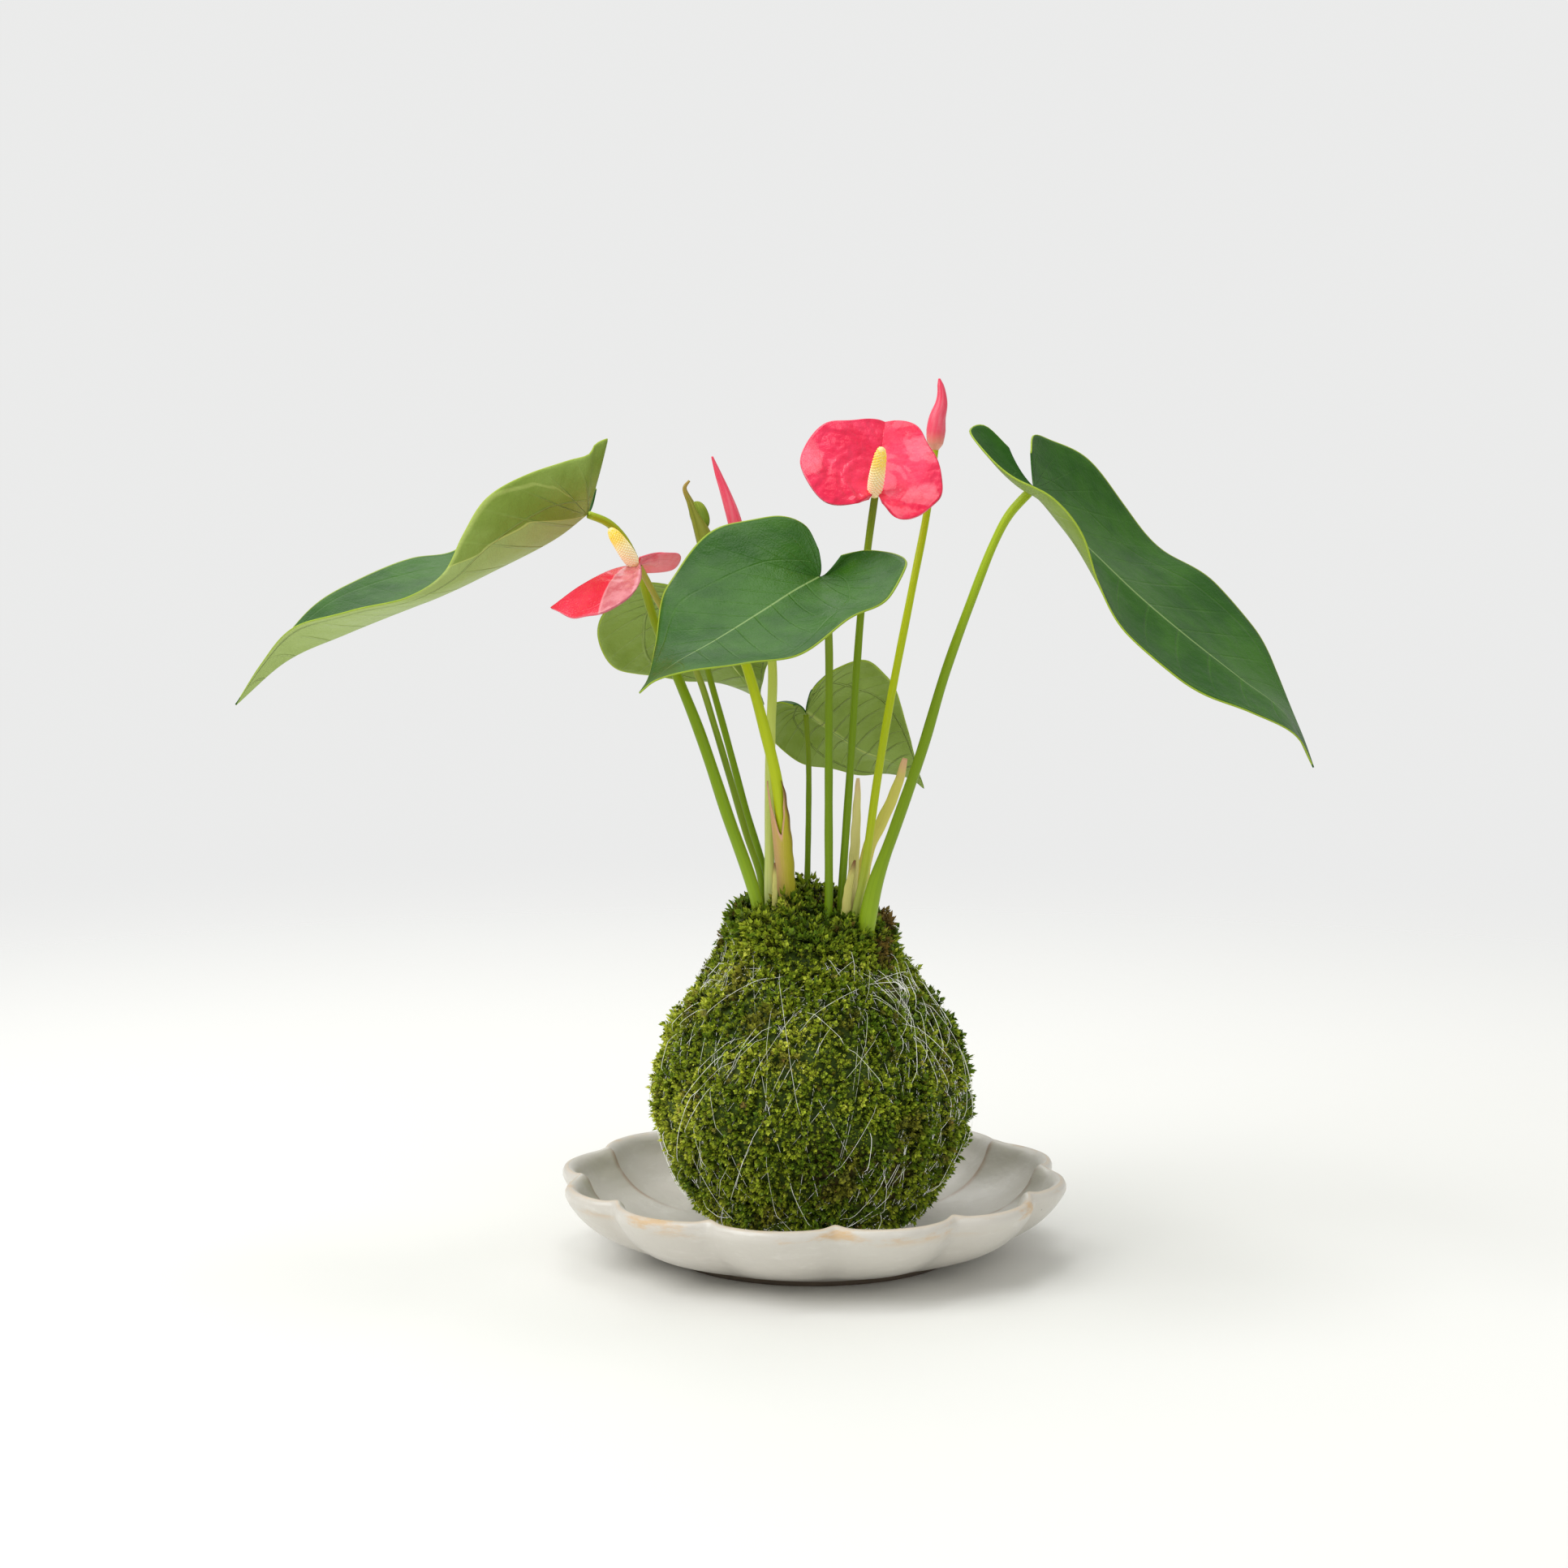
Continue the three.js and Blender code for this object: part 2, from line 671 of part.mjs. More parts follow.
function dish() {
  const stepsPerLobe = 6;
  const count = DISH_LOBES * stepsPerLobe;
  const rings = DISH_SECTION.map(([radius, height, depth]) => {
    const ring = [];
    for (let i = 0; i < count; i += 1) {
      const angle = DISH_FIRST_NOTCH + (i / count) * 2 * Math.PI;
      const reach = radius * (1 - depth * (1 - lobeRadius(angle)));
      ring.push(new THREE.Vector3(reach * Math.cos(angle), reach * Math.sin(angle), height));
    }
    return ring;
  });
  const foot = new THREE.Vector3(0, 0, 0);
  const well = new THREE.Vector3(0, 0, DISH_WELL_HEIGHT);
  return ringSurface(rings, foot, well);
}

// Moves a point of the ball's plain round form to the real, sloping crown.
function shapeCrown(point) {
  const high = smoothStep(point.z, CROWN_START, BALL_SECTION.at(-1)[1]);
  const mound = Math.exp(-((point.x - MOUND.x) ** 2 + (point.y - MOUND.y) ** 2) / MOUND.radius ** 2);
  point.z += high * (CROWN_SLOPE.x * point.x + CROWN_SLOPE.y * point.y + MOUND.height * mound);
  return point;
}

// The ball's form, inset from the moss by a depth. The tuft function gives each point of the
// surface its own height above that form.
function ballForm(inset, segments, ringCount, tuft = null) {
  const section = new THREE.CatmullRomCurve3(BALL_SECTION.map(([r, z]) => vector([r, 0, z])));
  const rings = [];
  for (let i = 0; i < ringCount; i += 1) {
    const share = i / (ringCount - 1);
    const spot = section.getPointAt(share);
    const along = section.getTangentAt(share);
    const ring = [];
    for (let j = 0; j < segments; j += 1) {
      const angle = (j / segments) * 2 * Math.PI;
      const lift = (tuft ? tuft(i, j, share) : 0) - inset;
      const radius = spot.x + along.z * lift;
      const height = spot.z - along.x * lift;
      ring.push(shapeCrown(vector([radius * Math.cos(angle), radius * Math.sin(angle), height])));
    }
    rings.push(ring);
  }
  const bottom = new THREE.Vector3(0, 0, BALL_SECTION[0][1] + inset);
  const top = shapeCrown(new THREE.Vector3(0, 0, BALL_SECTION.at(-1)[1] - inset));
  return ringSurface(rings, bottom, top, tuft !== null);
}

// Tufts stand on every second point, each a little different, with dips between them. The flat
// underside has none, and those of the crown are lower.
function mossTuft(ring, segment, share) {
  const dip = 0.3;
  const standing = (ring + segment) % 2 === 0 ? 1 : -dip;
  const own = THREE.MathUtils.lerp(LOWEST_TUFT, TALLEST_TUFT, noise(ring * 97 + segment));
  const offUnderside = smoothStep(share, 0.04, 0.12);
  const offCrown = 1 - 0.6 * smoothStep(share, 0.9, 0.98);
  return (MOSS_TUFT_HEIGHT * standing * own - MOSS_SETTLED) * offUnderside * offCrown;
}

// The radius of the ball's plain form towards a direction whose slope above the level is given.
function ballReach(slope) {
  const section = BALL_SECTION.map(([radius, height]) => {
    const rise = height - BALL_CENTRE_HEIGHT;
    return { angle: Math.atan2(rise, radius), reach: Math.hypot(rise, radius) };
  });
  const next = section.findIndex(({ angle }) => angle > slope);
  const [a, b] = [section[next - 1], section[next]];
  return THREE.MathUtils.mapLinear(slope, a.angle, b.angle, a.reach, b.reach);
}

// The binding thread: taut turns round the ball's sides, knotted together where they cross.
// Each turn is a tilted ring that clears the tips of the tufts, the crown and the underside.
function bindingThread() {
  const sides = 3;
  const turns = [];
  for (let turn = 0; turn < THREAD_TURNS; turn += 1) {
    const heading = (turn / THREAD_TURNS) * 2 * Math.PI + 0.4;
    const tilt = 0.55 + 0.25 * noise(turn + 5);
    const level = Math.sin(tilt);
    const normal = vector([level * Math.cos(heading), level * Math.sin(heading), Math.cos(tilt)]);
    turns.push(solidOf(closedTube(threadTurn(normal), THREAD_DIAMETER / 2, sides)));
  }
  return meshOf(turns.reduce((bound, turn) => bound.add(turn)));
}

// One turn round the ball, in the plane whose normal is given.
function threadTurn(normal) {
  const steps = 32;
  const clear = MOSS_TUFT_HEIGHT * TALLEST_TUFT - MOSS_SETTLED + GAP + THREAD_DIAMETER;
  const first = new THREE.Vector3(0, 0, 1).cross(normal).normalize();
  const second = new THREE.Vector3().crossVectors(normal, first);
  const route = [];
  for (let step = 0; step < steps; step += 1) {
    const angle = (step / steps) * 2 * Math.PI;
    const direction = first.clone().multiplyScalar(Math.cos(angle))
      .addScaledVector(second, Math.sin(angle));
    const point = direction.clone().multiplyScalar(ballReach(Math.asin(direction.z)) + clear);
    point.z += BALL_CENTRE_HEIGHT;
    route.push(shapeCrown(point));
  }
  return route;
}

// A ring of tube through points, whose section turns with the ring's plane.
function closedTube(route, radius, sides) {
  const curve = new THREE.CatmullRomCurve3(route, true);
  const frames = curve.computeFrenetFrames(route.length, true);
  const points = [];
  const triangles = [];
  for (let step = 0; step < route.length; step += 1) {
    const centre = curve.getPointAt(step / route.length);
    for (let side = 0; side < sides; side += 1) {
      const angle = (side / sides) * 2 * Math.PI;
      points.push(centre.clone()
        .addScaledVector(frames.normals[step], radius * Math.cos(angle))
        .addScaledVector(frames.binormals[step], radius * Math.sin(angle)));
      const at = (s, k) => (s % route.length) * sides + (k % sides);
      triangles.push([at(step, side), at(step, side + 1), at(step + 1, side + 1)]);
      triangles.push([at(step, side), at(step + 1, side + 1), at(step + 1, side)]);
    }
  }
  return facingOut(geometryOf(points, triangles));
}

// The young leaf is a roll, with the edge of one lobe peeping out of it near the top.
function youngLeaf() {
  const lobe = new THREE.SphereGeometry(1, 10, 6);
  lobe.scale(...YOUNG_LOBE.reach);
  lobe.rotateY(YOUNG_LOBE.lean);
  lobe.translate(...YOUNG_LOBE.middle);
  return meshOf(solidOf(furled(FURLED.young_leaf)).add(solidOf(lobe)));
}

// A furled piece, a seat's gap above the top of its stem.
function furled({ route, widths, steps }) {
  return bentCylinder(moved(route, GAP + SEAT_SLACK), widths, { steps });
}

// A route whose first point is moved along it: ahead to stay clear of what it stands on, or
// back to reach further down.
function moved(route, distance) {
  const start = vector(route[0]);
  const towards = vector(route[1]).sub(start).normalize();
  return [start.addScaledVector(towards, distance).toArray(), ...route.slice(1)];
}

function shortOf(route, distance) {
  return moved([...route].reverse(), distance).reverse();
}

// The clear hole for a stem, round it and below its foot.
function stemHole({ route, widths }) {
  return bentCylinder(moved(route, -GAP), widths, { grow: GAP + HOLE_SLACK });
}

// The clear slot for a bract's foot in the moss.
function bractHole(sheet) {
  return thicken(sheet, SHEATH_THICKNESS + 2 * (GAP + HOLE_SLACK), GAP + SEAT_SLACK);
}

function material(color, roughness) {
  return new THREE.MeshStandardMaterial({ color, roughness, metalness: 0 });
}

const part = new THREE.Group();

function addPiece(name, geometry, surface) {
  const bare = geometry.clone();
  bare.computeVertexNormals();
  const mesh = new THREE.Mesh(bare, surface);
  mesh.name = name;
  part.add(mesh);
}

const each = (pieces, make) => Object.fromEntries(
  Object.entries(pieces).map(([name, piece]) => [name, make(piece)]),
);

const blades = { ...LEAVES, ...SPATHES };
const bladeSheets = each(blades, bladeSheet);
const bractSheets = each(BRACTS, bractSheet);

// What a stem or spadix keeps clear of at a blade: the blade all over, and the joint's tip.
function roomForBlade(name) {
  const joint = new THREE.SphereGeometry(LEAF_THICKNESS / 2 + GAP + BLADE_SLACK / 2, 12, 8);
  joint.translate(...blades[name].midrib[0]);
  const wider = LEAF_THICKNESS + 2 * GAP + BLADE_SLACK;
  return [thicken(bladeSheets[name], wider, GAP + BLADE_SLACK), joint];
}

const stemHoles = Object.values(STEMS).map(stemHole);
const bractHoles = Object.values(bractSheets).map(bractHole);

const leafSurface = material(LEAF_GREEN, 0.3);
const youngSurface = material(YOUNG_LEAF_GREEN, 0.4);
const stemSurface = material(STEM_GREEN, 0.45);
const paleStemSurface = material(STEM_YELLOW_GREEN, 0.45);
const spatheSurface = material(SPATHE_PINK, 0.25);
const spadixSurface = material(SPADIX_YELLOW, 0.5);
const sheathSurface = material(SHEATH_TAN, 0.8);

addPiece('dish', dish(), material(GLAZE_WHITE, 0.35));

const soilForm = ballForm(MOSS_THICKNESS + GAP, 24, 12);
addPiece('soil_ball', cutAway(soilForm, stemHoles), material(SOIL_BROWN, 0.95));

const cavity = ballForm(MOSS_THICKNESS, 24, 12);
const mossForm = ballForm(0, 56, 32, mossTuft);
const moss = cutAway(mossForm, [cavity, ...stemHoles, ...bractHoles]);
addPiece('moss_cover', moss, material(MOSS_GREEN, 0.95));

addPiece('binding_thread', bindingThread(), material(THREAD_GREY, 0.4));

for (const name of Object.keys(LEAVES)) {
  addPiece(name, thicken(bladeSheets[name], LEAF_THICKNESS), leafSurface);
}
for (const name of Object.keys(SPATHES)) {
  addPiece(name, thicken(bladeSheets[name], SPATHE_THICKNESS), spatheSurface);
}
// The stems that carry no open blade are the pale ones.
for (const [name, { route, widths, fits }] of Object.entries(STEMS)) {
  if (fits) {
    const stem = bentCylinder(shortOf(route, LEAF_THICKNESS), widths);
    addPiece(name, cutAway(stem, roomForBlade(fits)), stemSurface);
  } else {
    addPiece(name, bentCylinder(route, widths), paleStemSurface);
  }
}
for (const [name, { route, widths, fits }] of Object.entries(SPADICES)) {
  const spadix = bentCylinder(route, widths, { steps: 6 });
  addPiece(name, cutAway(spadix, roomForBlade(fits)), spadixSurface);
}

addPiece('young_leaf', youngLeaf(), youngSurface);
addPiece('left_bud', furled(FURLED.left_bud), spatheSurface);
addPiece('right_bud', furled(FURLED.right_bud), spatheSurface);
for (const [name, sheet] of Object.entries(bractSheets)) {
  addPiece(name, thicken(sheet, SHEATH_THICKNESS), sheathSurface);
}

export default part;
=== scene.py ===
"""A kokedama: a flamingo flower growing from a moss ball that rests in a scalloped, glazed dish."""
import logging
import math
from dataclasses import dataclass
from enum import Enum
from functools import cached_property, partial
from typing import Callable, Mapping, Sequence, Union

import bmesh
import bpy
import numpy as np
from mathutils import Matrix, Vector, kdtree


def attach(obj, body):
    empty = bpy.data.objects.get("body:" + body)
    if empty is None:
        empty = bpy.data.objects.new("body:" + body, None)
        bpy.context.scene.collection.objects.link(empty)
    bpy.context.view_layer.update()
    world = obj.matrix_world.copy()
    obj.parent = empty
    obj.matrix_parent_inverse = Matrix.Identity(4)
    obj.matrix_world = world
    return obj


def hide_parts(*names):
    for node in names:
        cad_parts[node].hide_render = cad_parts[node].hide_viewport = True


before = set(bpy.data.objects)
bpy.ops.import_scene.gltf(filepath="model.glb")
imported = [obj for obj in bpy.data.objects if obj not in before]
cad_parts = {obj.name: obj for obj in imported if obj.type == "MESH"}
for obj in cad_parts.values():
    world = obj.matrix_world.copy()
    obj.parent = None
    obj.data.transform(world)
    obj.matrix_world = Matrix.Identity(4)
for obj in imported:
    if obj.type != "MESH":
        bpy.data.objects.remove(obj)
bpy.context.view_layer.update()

Point = tuple[float, float, float]
Colour = tuple[float, float, float]
Array = np.ndarray
Node = bpy.types.Node
Socket = bpy.types.NodeSocket
Value = Union[float, Sequence[float], Socket]
Form = Callable[[Array, Array], Array]

log = logging.getLogger("kokedama")

# Places and sizes below are millimetres, as they are listed, and become metres in a mesh.
MM = 0.001
SEED = 1827
BODY = "root"
# How thick dry and young sheets are, and how far side veins sweep forwards at a blade's edge.
THIN = 0.5
VEIN_SWEEP = 0.035
FULL_TURN = 2 * math.pi
GOLDEN_ANGLE = math.pi * (3 - math.sqrt(5))
NUMBER, VECTOR = "NodeSocketFloat", "NodeSocketVector"


class Route:
    """A smooth curve through listed points, walked by shares of its length."""

    # How far to either side a direction is taken from, and a way that no route starts in.
    NEAR = 0.004
    ASIDE = (0.0, 1.0, 0.13)

    def __init__(self, points: Sequence[Point], samples: int = 48) -> None:
        """Samples the curve.

        Args:
            points: The points that it passes through.
            samples: How many samples lie between two points.
        """
        stops = np.array(points, dtype=float)
        stops = np.vstack([2 * stops[0] - stops[1], stops, 2 * stops[-1] - stops[-2]])
        shares = np.linspace(0, 1, samples, endpoint=False)[:, None]
        spans = [self._span(*stops[i:i + 4], shares) for i in range(len(stops) - 3)]
        self.samples = np.vstack([*spans, stops[-2][None]])
        lengths = np.linalg.norm(np.diff(self.samples, axis=0), axis=1)
        self.walked = np.concatenate([[0], np.cumsum(lengths)])
        self.length = float(self.walked[-1])

    @staticmethod
    def _span(a: Array, b: Array, c: Array, d: Array, t: Array) -> Array:
        """Walks a centripetal spline.

        Args:
            a: The point before the span.
            b: Its start.
            c: Its end.
            d: The point after it.
            t: Shares of the way, in a column.

        Returns:
            The points at the shares.
        """
        before, here, after = (math.sqrt(np.linalg.norm(q - p)) for p, q in ((a, b), (b, c), (c, d)))
        start = here * ((b - a) / before - (c - a) / (before + here) + (c - b) / here)
        end = here * ((c - b) / here - (d - b) / (here + after) + (d - c) / after)
        return (b + start * t + (3 * (c - b) - 2 * start - end) * t ** 2
                + (2 * (b - c) + start + end) * t ** 3)

    def at(self, share: Union[float, Array]) -> Array:
        """The points at shares of the length."""
        walked = np.asarray(share, dtype=float) * self.length
        return np.stack([np.interp(walked, self.walked, axis) for axis in self.samples.T], axis=-1)

    def along(self, share: Array) -> Array:
        """The unit directions of the curve at shares of the length."""
        step = self.at(np.minimum(share + self.NEAR, 1)) - self.at(np.maximum(share - self.NEAR, 0))
        return step / np.linalg.norm(step, axis=-1, keepdims=True)

    def frames(self, share: Array) -> tuple[Array, Array]:
        """Two directions square to the curve at each share, carried on without twist.

        Args:
            share: Shares of the length, in order.

        Returns:
            The first directions and the second ones.
        """
        along = self.along(share)
        side = np.cross(along[0], self.ASIDE)
        sides = []
        for direction in along:
            side = side - direction * np.dot(side, direction)
            side = side / np.linalg.norm(side)
            sides.append(side)
        first = np.array(sides)
        return first, np.cross(along, first)


def smooth_step(value: Array, low: float, high: float) -> Array:
    """Zero below low and one above high, with a smooth rise between them."""
    share = np.clip((value - low) / (high - low), 0, 1)
    return share * share * (3 - 2 * share)


class Graph:
    """The nodes of one material or node group, written as short expressions."""

    def __init__(self, tree: bpy.types.NodeTree) -> None:
        """Keeps the tree that the nodes go into."""
        self.tree = tree

    def node(self, kind: str, **settings: object) -> Node:
        """Adds a node.

        Args:
            kind: The node's type.
            **settings: Its properties.

        Returns:
            The node.
        """
        node = self.tree.nodes.new(kind)
        for name, value in settings.items():
            setattr(node, name, value)
        return node

    def feed(self, socket: Socket, value: Value) -> None:
        """Links a socket to another, or sets its own value.

        Args:
            socket: The input to feed.
            value: An output, a number, or the parts of a vector or colour.
        """
        if isinstance(value, bpy.types.NodeSocket):
            self.tree.links.new(value, socket)
        elif isinstance(value, (tuple, list)) and len(value) == 3 and socket.type == "RGBA":
            socket.default_value = (*value, 1.0)
        else:
            socket.default_value = value

    def settle(self, node: Node, values: Mapping[str, Value]) -> None:
        """Feeds a node's inputs.

        Args:
            node: The node.
            values: What each named input is given.
        """
        for name, value in values.items():
            self.feed(node.inputs[name], value)

    def math(self, operation: str, first: Value, second: Value = 0.0) -> Socket:
        """One sum, product or the like of two values.

        Args:
            operation: What is done with them.
            first: The first value.
            second: The second, where the operation takes two.

        Returns:
            The result.
        """
        node = self.node("ShaderNodeMath", operation=operation)
        self.feed(node.inputs[0], first)
        self.feed(node.inputs[1], second)
        return node.outputs[0]

    def mix(self, share: Value, first: Value, second: Value) -> Socket:
        """A colour between two colours.

        Args:
            share: How much of the second there is.
            first: The first colour.
            second: The second colour.

        Returns:
            The mixed colour.
        """
        node = self.node("ShaderNodeMix", data_type="RGBA")
        # The colours' sockets come after those for numbers and vectors.
        for index, value in ((0, share), (6, first), (7, second)):
            self.feed(node.inputs[index], value)
        return node.outputs[2]

    def band(self, value: Value, low: float, high: float, start: float = 0.0, end: float = 1.0) -> Socket:
        """A smooth change from start to end as a value goes from low to high.

        Args:
            value: The value.
            low: Where the change begins.
            high: Where it ends.
            start: The result up to low.
            end: The result from high on.

        Returns:
            The result.
        """
        node = self.node("ShaderNodeMapRange", interpolation_type="SMOOTHSTEP")
        for index, entry in enumerate((value, low, high, start, end)):
            self.feed(node.inputs[index], entry)
        return node.outputs[0]

    def noise(self, where: Socket, scale: Value, detail: float = 4.0, roughness: float = 0.55) -> Socket:
        """Soft noise over the surface, about a half on average.

        Args:
            where: The coordinates.
            scale: How many features there are to a unit.
            detail: How many finer layers it has.
            roughness: How strong the finer layers are.

        Returns:
            The noise.
        """
        node = self.node("ShaderNodeTexNoise")
        self.settle(node, {"Vector": where, "Scale": scale, "Detail": detail, "Roughness": roughness})
        return node.outputs[0]

    def streaks(self, count: float, changes: float, detail: float) -> Socket:
        """Noise drawn out into long streaks, from the piece's own map.

        Args:
            count: About how many streaks lie side by side.
            changes: How often one of them changes on its way.
            detail: How many finer layers the noise has.

        Returns:
            The streaks.
        """
        across, along = self.surface()
        spot = self.node("ShaderNodeCombineXYZ")
        self.feed(spot.inputs[0], self.math("MULTIPLY", across, count))
        self.feed(spot.inputs[1], self.math("MULTIPLY", along, changes))
        return self.noise(spot.outputs[0], 2.0, detail, 0.6)

    def cells(self, where: Socket, scale: Value, feature: str = "F1") -> Node:
        """A pattern of cells.

        Args:
            where: The coordinates.
            scale: How many cells there are to a unit.
            feature: What is measured of them.

        Returns:
            The node, whose outputs have names.
        """
        node = self.node("ShaderNodeTexVoronoi", feature=feature)
        self.settle(node, {"Vector": where, "Scale": scale})
        return node

    def stretched(self, where: Socket, scale: Sequence[float]) -> Socket:
        """Coordinates drawn out along their axes.

        Args:
            where: The coordinates.
            scale: The factor on each axis.

        Returns:
            The new coordinates.
        """
        node = self.node("ShaderNodeMapping")
        self.settle(node, {"Vector": where, "Scale": scale})
        return node.outputs[0]

    def bump(self, height: Socket, distance: float, under: Union[Socket, None] = None) -> Socket:
        """A normal tilted by a height.

        Args:
            height: The height, as a share.
            distance: What its full value stands for, in metres.
            under: A normal that is tilted already.

        Returns:
            The new normal.
        """
        node = self.node("ShaderNodeBump")
        self.settle(node, {"Distance": distance, "Height": height})
        if under is not None:
            self.feed(node.inputs["Normal"], under)
        return node.outputs[0]

    def place(self) -> Socket:
        """The point's place on the object."""
        return self.node("ShaderNodeTexCoord").outputs["Object"]

    def surface(self) -> tuple[Socket, Socket]:
        """The piece's own map.

        Returns:
            Its values across and along the piece.
        """
        node = self.node("ShaderNodeSeparateXYZ")
        self.feed(node.inputs[0], self.node("ShaderNodeUVMap", uv_map="shape").outputs[0])
        return node.outputs[0], node.outputs[1]

    def painted(self, name: str) -> tuple[Socket, Socket, Socket]:
        """A colour attribute of the piece.

        Args:
            name: The attribute's name.

        Returns:
            Its three values.
        """
        node = self.node("ShaderNodeSeparateColor")
        self.feed(node.inputs[0], self.node("ShaderNodeAttribute", attribute_name=name).outputs["Color"])
        return node.outputs[0], node.outputs[1], node.outputs[2]

    def group(self, tree: bpy.types.NodeTree, **values: Value) -> Node:
        """Places a shared effect.

        Args:
            tree: The effect's node group.
            **values: What each of its inputs is given.

        Returns:
            The placed node.
        """
        node = self.node("ShaderNodeGroup", node_tree=tree)
        self.settle(node, values)
        return node


class SharedEffects:
    """The node groups that more than one finish uses, each built once."""

    @staticmethod
    def _group(name: str, inputs: Mapping[str, str],
               outputs: Sequence[str]) -> tuple[Graph, Node, Node]:
        """A new group with its sockets.

        Args:
            name: The group's name.
            inputs: The socket type of each named input.
            outputs: The name of each output, all of them values.

        Returns:
            The graph of the group, its input node and its output node.
        """
        tree = bpy.data.node_groups.new(name, "ShaderNodeTree")
        for label, kind in inputs.items():
            tree.interface.new_socket(name=label, in_out="INPUT", socket_type=kind)
        for label in outputs:
            tree.interface.new_socket(name=label, in_out="OUTPUT", socket_type=NUMBER)
        graph = Graph(tree)
        return graph, graph.node("NodeGroupInput"), graph.node("NodeGroupOutput")

    @cached_property
    def mottling(self) -> bpy.types.NodeTree:
        """Large soft patches with smaller ones in them.

        Returns:
            The effect's group.
        """
        graph, given, out = self._group("mottling", {"Where": VECTOR, "Scale": NUMBER}, ["Share"])
        where, scale = given.outputs["Where"], given.outputs["Scale"]
        large = graph.noise(where, scale, 2.0)
        small = graph.noise(where, graph.math("MULTIPLY", scale, 4.3), 4.0)
        both = graph.math("ADD", graph.math("MULTIPLY", large, 0.65), graph.math("MULTIPLY", small, 0.35))
        graph.feed(out.inputs["Share"], graph.band(both, 0.36, 0.64))
        return graph.tree

    @cached_property
    def veins(self) -> bpy.types.NodeTree:
        """The midrib, side veins and margin of a blade, from the blade's own map.

        Returns:
            The effect's group.
        """
        inputs = {"Across": NUMBER, "Along": NUMBER, "Count": NUMBER, "Width": NUMBER}
        graph, given, out = self._group("veins", inputs, ["Rib", "Veins", "Margin"])
        across, along, count, width = (given.outputs[name] for name in inputs)
        shift = graph.math("SUBTRACT", across, 0.5)
        out_from_rib = graph.math("MULTIPLY", graph.math("ABSOLUTE", shift), 2.0)
        curved = graph.math("MULTIPLY", graph.math("POWER", out_from_rib, 2.0), VEIN_SWEEP)
        turn = graph.math("MULTIPLY", graph.math("SUBTRACT", along, curved), count)
        nearest = graph.math("ABSOLUTE", graph.math("SUBTRACT", graph.math("FRACT", turn), 0.5))
        fading = graph.band(out_from_rib, 0.25, 0.95, 1.0, 0.15)
        fine = graph.math("MULTIPLY", graph.band(nearest, 0.43, 0.5), fading)
        course = graph.band(along, 0.08, 0.7, 0.3, 0.88)
        off_course = graph.math("ABSOLUTE", graph.math("SUBTRACT", out_from_rib, course))
        basal = graph.band(off_course, 0.0, 0.022, 0.8, 0.0)
        narrowed = graph.math("DIVIDE", out_from_rib, width)
        graph.settle(out, {"Rib": graph.band(narrowed, 0.005, 0.018, 1.0, 0.0),
                           "Veins": graph.math("MAXIMUM", fine, basal),
                           "Margin": graph.band(out_from_rib, 0.984, 0.995)})
        return graph.tree

    @cached_property
    def grain(self) -> bpy.types.NodeTree:
        """The fine cellular relief of plant skin.

        Returns:
            The effect's group.
        """
        graph, given, out = self._group("grain", {"Where": VECTOR, "Scale": NUMBER}, ["Height"])
        where, scale = given.outputs["Where"], given.outputs["Scale"]
        cells = graph.cells(where, scale, "DISTANCE_TO_EDGE")
        soft = graph.noise(where, scale, 3.0)
        relief = graph.math("ADD", graph.band(cells.outputs["Distance"], 0.0, 0.25), soft)
        graph.feed(out.inputs["Height"], graph.math("MULTIPLY", relief, 0.5))
        return graph.tree


EFFECTS = SharedEffects()
MADE: dict[str, bpy.types.Material] = {}


@dataclass(frozen=True)
class Finish:
    """A material with its Principled shader, whose nodes a kind of finish adds."""

    name: str

    def make(self) -> bpy.types.Material:
        """Builds the material on first use.

        Returns:
            The material.
        """
        if self.name not in MADE:
            material = bpy.data.materials.new(self.name)
            material.use_nodes = True
            self.dress(Graph(material.node_tree), material.node_tree.nodes["Principled BSDF"])
            MADE[self.name] = material
        return MADE[self.name]

    def dress(self, graph: Graph, shader: Node) -> None:
        """Adds the finish's own nodes.

        Args:
            graph: The material's graph.
            shader: Its Principled shader.
        """
        raise NotImplementedError


